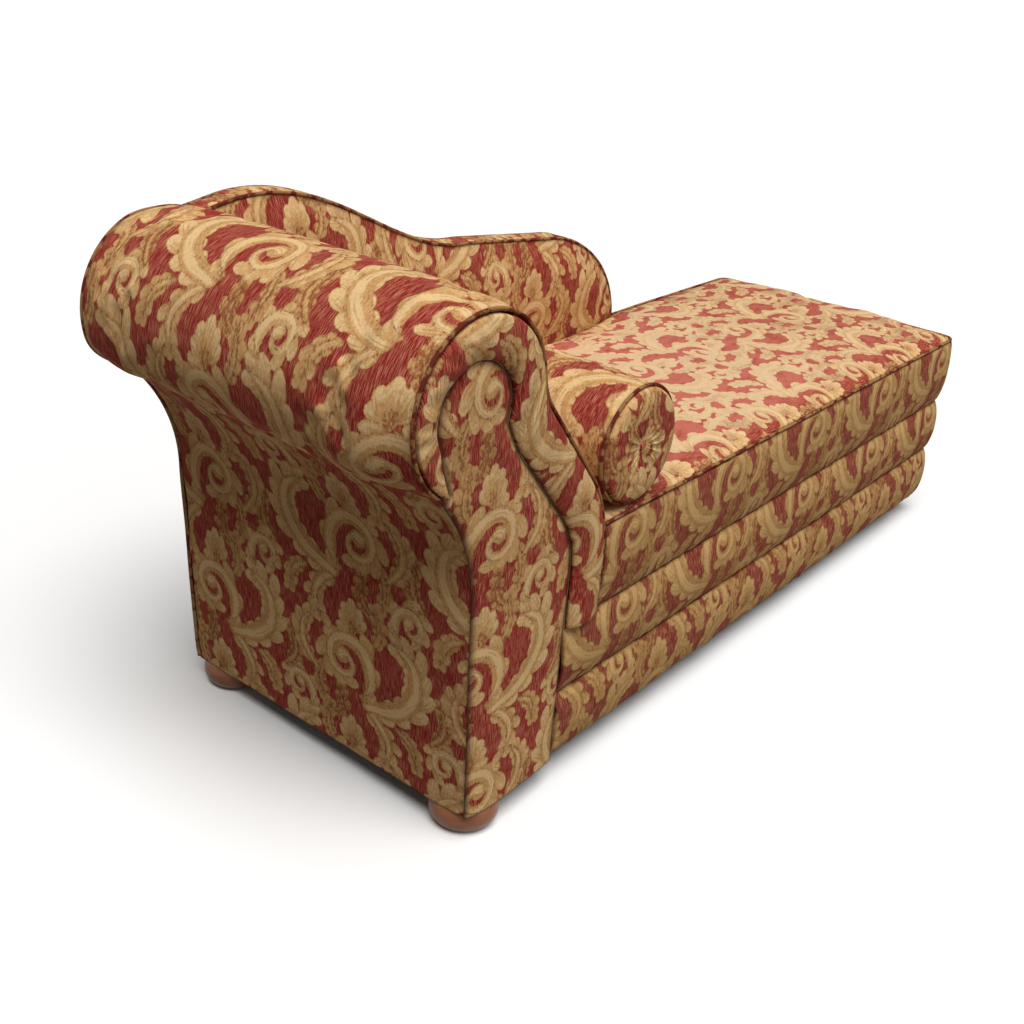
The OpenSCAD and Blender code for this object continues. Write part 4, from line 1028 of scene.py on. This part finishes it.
low = np.stack([np.full(100, BACK_END), np.linspace(SEAT, HEM, 101)[1:]], 1)
line = np.vstack([back_top, low])
y0 = (welt_y(line[:, 0]) + 0.003)[:, None]
y1 = np.where(line[:, :1] < 0.0665, BOARD_Y, HALF_W)
p = across(line[:, None], y0 + (y1 - y0) * span(16))
cover("back_top_cloth", p, grid(run_of(line)[:, None], p[..., 1]), UP, "back_top_band", ("right",), fill=0.4,
      hem=0.008, offset=(0.3, 0.15), dark=(0, 0, 0, 0.2), depth=0.0015, zone=0.006, pucker=0.0006, seed=121)
line = even(np.vstack([back_top[back_top[:, 0] >= 0.0], [[BACK_END, SEAT]]]), 230)
t = span(140)
bow = 0.0015 * lumps(231, 140, (10, 8), 131)
p = grid(line[:, :1], HALF_W - 0.002 + bow * fade(t, 8), HEM + (line[:, 1:] - HEM) * t)
cover("outside_back_cloth", p, grid(-p[..., 0], p[..., 2]), REAR, "outside_back_cover", SIDES, fill=0.3,
      offset=(0.05, 0.2), depth=0.002, zone=0.008, pucker=0.0008, seed=133)

# %% [markdown]
# ## The bolster
# A loose roll: a tube of cloth, and two ends gathered from their welt to a covered button. The gathers
# are waves round the end that fade towards the rim; a simulation would need the cloth's real slack.

# %% Bolster
BOLSTER_C, BOLSTER_R, BOLSTER_Y0 = np.array([0.382414, 0.55386]), 0.102, -0.310
BOLSTER_Y1 = BOLSTER_Y0 + 0.5447
ENDS = (("front", BOLSTER_Y0, -1, 151), ("rear", BOLSTER_Y1, 1, 161))
cx, cz = BOLSTER_C
a, t = angles(0, 360, 184), span(150)
y = np.linspace(BOLSTER_Y0 + 0.007, BOLSTER_Y1 - 0.007, 150)
r = BOLSTER_R - 0.003 * (2 * t - 1) ** 2
p = grid(cx + r * np.cos(a)[:, None], y, cz + r * np.sin(a)[:, None])
uneven_skin = lumps(184, 150, (9, 6), 141)
uneven_skin[-12:] += (uneven_skin[:1] - uneven_skin[-1:]) * smooth(span(12))[:, None]
n = grid(np.cos(a), 0, np.sin(a))
p = p + n[:, None] * (0.0010 * uneven_skin * fade(t, 8) - 0.0008)[..., None]
p[-1] = p[0]
cover("bolster_cloth", p, grid(y, (a * BOLSTER_R)[:, None]), LEFT, "bolster_cover", ("left", "right"),
      body="bolster", fill=0.8, hem=0.004, offset=(0.1, 0.1), depth=0.003, zone=0.006, pucker=0.0010,
      wave=0.014, seed=143)


def disc(radius, height, s, a, y0, side):
    """A round grid about the bolster's axis: s goes out, a goes round, height is off the end y0."""
    q = grid(cx + radius * s * np.cos(a), y0 + side * height, cz + radius * s * np.sin(a))
    q[:, -1] = q[:, 0]
    return q


for end, y0, side, seed in ENDS:
    s, a = np.linspace(0.03, 1, 44)[:, None], angles(0, 360, 217)[None]
    height = 0.012 * np.sqrt(1 - s**4) * (1 - 0.62 * (1 - s) ** 2.2) - 0.005 * smooth((s - 0.945) / 0.055)
    ripple = 18 * a + 0.9 * wander(217, 360, 40, seed)[None] * np.sin(a / 2)
    pull = (0.0019 * np.sin(ripple) * (1 - s) ** 1.3 * smooth((s - 0.08) * 3)
            + 0.0005 * np.sin(2 * ripple + 1) * np.exp(-((s - 0.3) / 0.2) ** 2))
    q = disc(BOLSTER_R - 0.0055, height - pull, s, a, y0, side)
    cover(f"bolster_end_cloth_{end}", q, grid(q[..., 0] * side, q[..., 2]), (0, side, 0),
          f"bolster_end_{end}", ("end",), body="bolster", hem=0.003, offset=(0.13 + 0.1 * side, 0.12),
          depth=0.0015, zone=0.005, pucker=0.0006, wave=0.012, seed=seed + 1)

# %% [markdown]
# ## Welts
# A welt is a cord in a strip of the same cloth, sewn into a seam. One Geometry Nodes group sweeps a
# round section along the welt's line. Its radius and material are inputs, so that all welts share it.

# %% Welt group
CORD_R = 0.0029


def welt_group():
    tree = bpy.data.node_groups.new("Welt", "GeometryNodeTree")
    face = tree.interface
    face.new_socket("Geometry", in_out="INPUT", socket_type="NodeSocketGeometry")
    for label, kind, default in (("Radius", "NodeSocketFloat", WELT), ("Spacing", "NodeSocketFloat", 0.003),
                                 ("Sides", "NodeSocketInt", 12), ("Cloth", "NodeSocketMaterial", None)):
        s = face.new_socket(label, in_out="INPUT", socket_type=kind)
        if default is not None:
            s.default_value = default
    face.new_socket("Geometry", in_out="OUTPUT", socket_type="NodeSocketGeometry")
    add = tree.nodes.new
    source, result = add("NodeGroupInput"), add("NodeGroupOutput")
    curve, resample, section, sweep, soft, real, paint = (add("GeometryNode" + kind) for kind in (
        "MeshToCurve", "ResampleCurve", "CurvePrimitiveCircle", "CurveToMesh", "SetShadeSmooth",
        "RealizeInstances", "SetMaterial"))
    resample.mode = "LENGTH"
    sweep.inputs["Fill Caps"].default_value = True
    for a, out, b, into in (
            (source, "Geometry", curve, "Mesh"), (curve, 0, resample, "Curve"),
            (source, "Spacing", resample, "Length"), (source, "Sides", section, "Resolution"),
            (source, "Radius", section, "Radius"), (resample, 0, sweep, "Curve"),
            (section, "Curve", sweep, "Profile Curve"), (sweep, 0, soft, 0), (soft, 0, real, 0),
            (real, 0, paint, "Geometry"), (source, "Cloth", paint, "Material"), (paint, 0, result, 0)):
        tree.links.new(a.outputs[out], b.inputs[into])
    return tree


WELT_GROUP = welt_group()
SOCKET = {s.name: s.identifier for s in WELT_GROUP.interface.items_tree if s.in_out == "INPUT"}
print("welt group with inputs", ", ".join(SOCKET))


def welt(name, p, node, body="couch", closed=False):
    """A cord swept along the points p, in the frame of the source."""
    edges = [(i, i + 1) for i in range(len(p) - 1)] + ([(len(p) - 1, 0)] if closed else [])
    mesh = bpy.data.meshes.new(name)
    mesh.from_pydata((p - (MID, 0, 0)).tolist(), edges, [])
    obj = place(name, mesh)
    mod = obj.modifiers.new("Welt", "NODES")
    mod.node_group = WELT_GROUP
    mod[SOCKET["Radius"]] = CORD_R
    mod[SOCKET["Cloth"]] = welt_cloth
    bpy.context.view_layer.update()
    swept = obj.evaluated_get(bpy.context.evaluated_depsgraph_get())
    plain_mesh = bpy.data.meshes.new_from_object(swept)
    obj.modifiers.clear()
    obj.data = plain_mesh
    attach(obj, body)
    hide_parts(node)
    print(name, "triangles", 2 * len(plain_mesh.polygons))


# %% [markdown]
# ## Welts of the couch
# They follow the lines that the covers were made from, one welt's radius off each seam. The seat's one
# wanders a little, because it is only held by its stitches.

# %% Welts of the couch
line = even(arm_line(WELT), 260)
welt("front_scroll_welt_cord", across(line, -FACING_Y - WELT), "front_scroll_welt")
welt("rear_scroll_welt_cord", across(rear_line(line), FACING_Y + WELT), "rear_scroll_welt")
path, out, s = base_path(SEAT_X, BACK_END, 900)
path = path - out * (WELT_INSET + WELT + 0.0004 * wander(901, s[-1], 0.12, 171)[:, None])
height = SEAT_CORE + SEAM + WELT + 0.0006 * wander(901, s[-1], 0.15, 172)
welt("seat_welt_cords", grid(path[:, 0], path[:, 1], height), "seat_welts")
line = back_top - back_out * WELT
welt("back_welt_cord", across(line, welt_y(line[:, 0])), "back_welt")

# %% [markdown]
# ## Welts and buttons of the bolster
# Each end has a closed welt at its rim and a small domed button in its middle, covered in the same
# cloth. Both ends are made by one loop, because they only differ in their side.

# %% Welts and buttons of the bolster
ring = arc(BOLSTER_C, BOLSTER_R - WELT, 0, 360, 120)[:-1]
for end, y0, side, _ in ENDS:
    path = across(ring, y0 - side * WELT)
    welt(f"bolster_welt_cord_{end}", path, f"bolster_welt_{end}", body="bolster", closed=True)
for end, y0, side, _ in ENDS:
    s, a = np.linspace(0.02, 1, 14)[:, None], angles(0, 360, 33)[None]
    q = disc(0.011, 0.005 + 0.0055 * np.sqrt(np.maximum(1 - s**2.4, 0)), s, a, y0, side)
    cover(f"bolster_button_cloth_{end}", q, grid(q[..., 0], q[..., 2]), (0, side, 0),
          f"bolster_button_{end}", body="bolster", fill=None, hem=0.003, offset=(0.02, 0.0))

# %% [markdown]
# ## Camera
# The camera stands where the photograph was taken. Its place, its three angles and its focal length
# were fitted to the photo, because a lens guessed by eye would bend every proportion.

# %% Camera
CAM_AT, FOCAL_PX, SENSOR, PIXELS = Vector((-1.9571, -1.2527, 1.3067)), 1256.1, 36, 1024
yaw, pitch, roll = math.radians(52.88), math.radians(26.04), math.radians(4.69)
ahead = Vector((math.sin(yaw) * math.cos(pitch), math.cos(yaw) * math.cos(pitch), -math.sin(pitch)))
level = Vector((math.cos(yaw), -math.sin(yaw), 0))
above = level.cross(ahead)
right = math.cos(roll) * level + math.sin(roll) * above
up = -math.sin(roll) * level + math.cos(roll) * above
data = bpy.data.cameras.new("Camera")
data.sensor_width = SENSOR
data.lens = SENSOR * FOCAL_PX / PIXELS
data.clip_end = 200
camera = place("Camera", data)
camera.matrix_world = Matrix.Translation(CAM_AT) @ Matrix((right, up, -ahead)).transposed().to_4x4()
scene = bpy.context.scene
scene.camera = camera
scene.view_settings.view_transform = "Standard"
print("lens", round(data.lens, 2), "mm")

# %% [markdown]
# ## Floor and lights
# The photo is white all round, with soft light from above. The floor and the sky look white, but send
# little light back, which would fade the cloth. Two wide suns stand for the studio's lamps.

# %% Floor and lights
def seen_rays(tree):
    """1 for rays that show a surface: from the camera, and off or through shiny things."""
    info = tree.nodes.new("ShaderNodeLightPath")
    rays = maths(tree, "ADD", info.outputs["Is Camera Ray"], info.outputs["Is Glossy Ray"])
    return maths(tree, "ADD", rays, info.outputs["Is Transmission Ray"], clamp=True)


floor_mat, tree, shader = new_material("floor")
coat(tree, shader, blend(tree, seen_rays(tree), (0.14, 0.12, 0.10), (0.97, 0.97, 0.97)), 0.9, 0.1)
F = 60.0  # half the floor's width
floor = make_mesh("floor", [(-F, -F, 0), (F, -F, 0), (F, F, 0), (-F, F, 0)], [[0, 1, 2, 3]])
floor.data.materials.append(floor_mat)
world = bpy.data.worlds.new("World")
scene.world = world
world.use_nodes = True
tree = world.node_tree
sky = tree.nodes["Background"]
put(sky, {"Color": (1.0, 0.96, 0.90, 1), "Strength": 0.09})
seen = tree.nodes.new("ShaderNodeBackground")
put(seen, {"Color": (1, 1, 1, 1), "Strength": 1.0})
pick = tree.nodes.new("ShaderNodeMixShader")
for socket, source in zip(pick.inputs, (seen_rays(tree), sky.outputs[0], seen.outputs[0])):
    tree.links.new(source, socket)
tree.links.new(pick.outputs[0], tree.nodes["World Output"].inputs["Surface"])
for name, power, angle, towards in (("top", 3.05, 42, (0.19, 0.30, -1.0)),
                                    ("key", 0.55, 60, (-0.10, 0.85, -0.50))):
    sun = bpy.data.lights.new(name, "SUN")
    sun.energy, sun.angle, sun.color = power, math.radians(angle), (1.0, 0.995, 0.985)
    lamp = place(name, sun)
    lamp.rotation_mode = "QUATERNION"
    lamp.rotation_quaternion = Vector(towards).to_track_quat("-Z", "Y")
print("floor, sky and two suns ready")
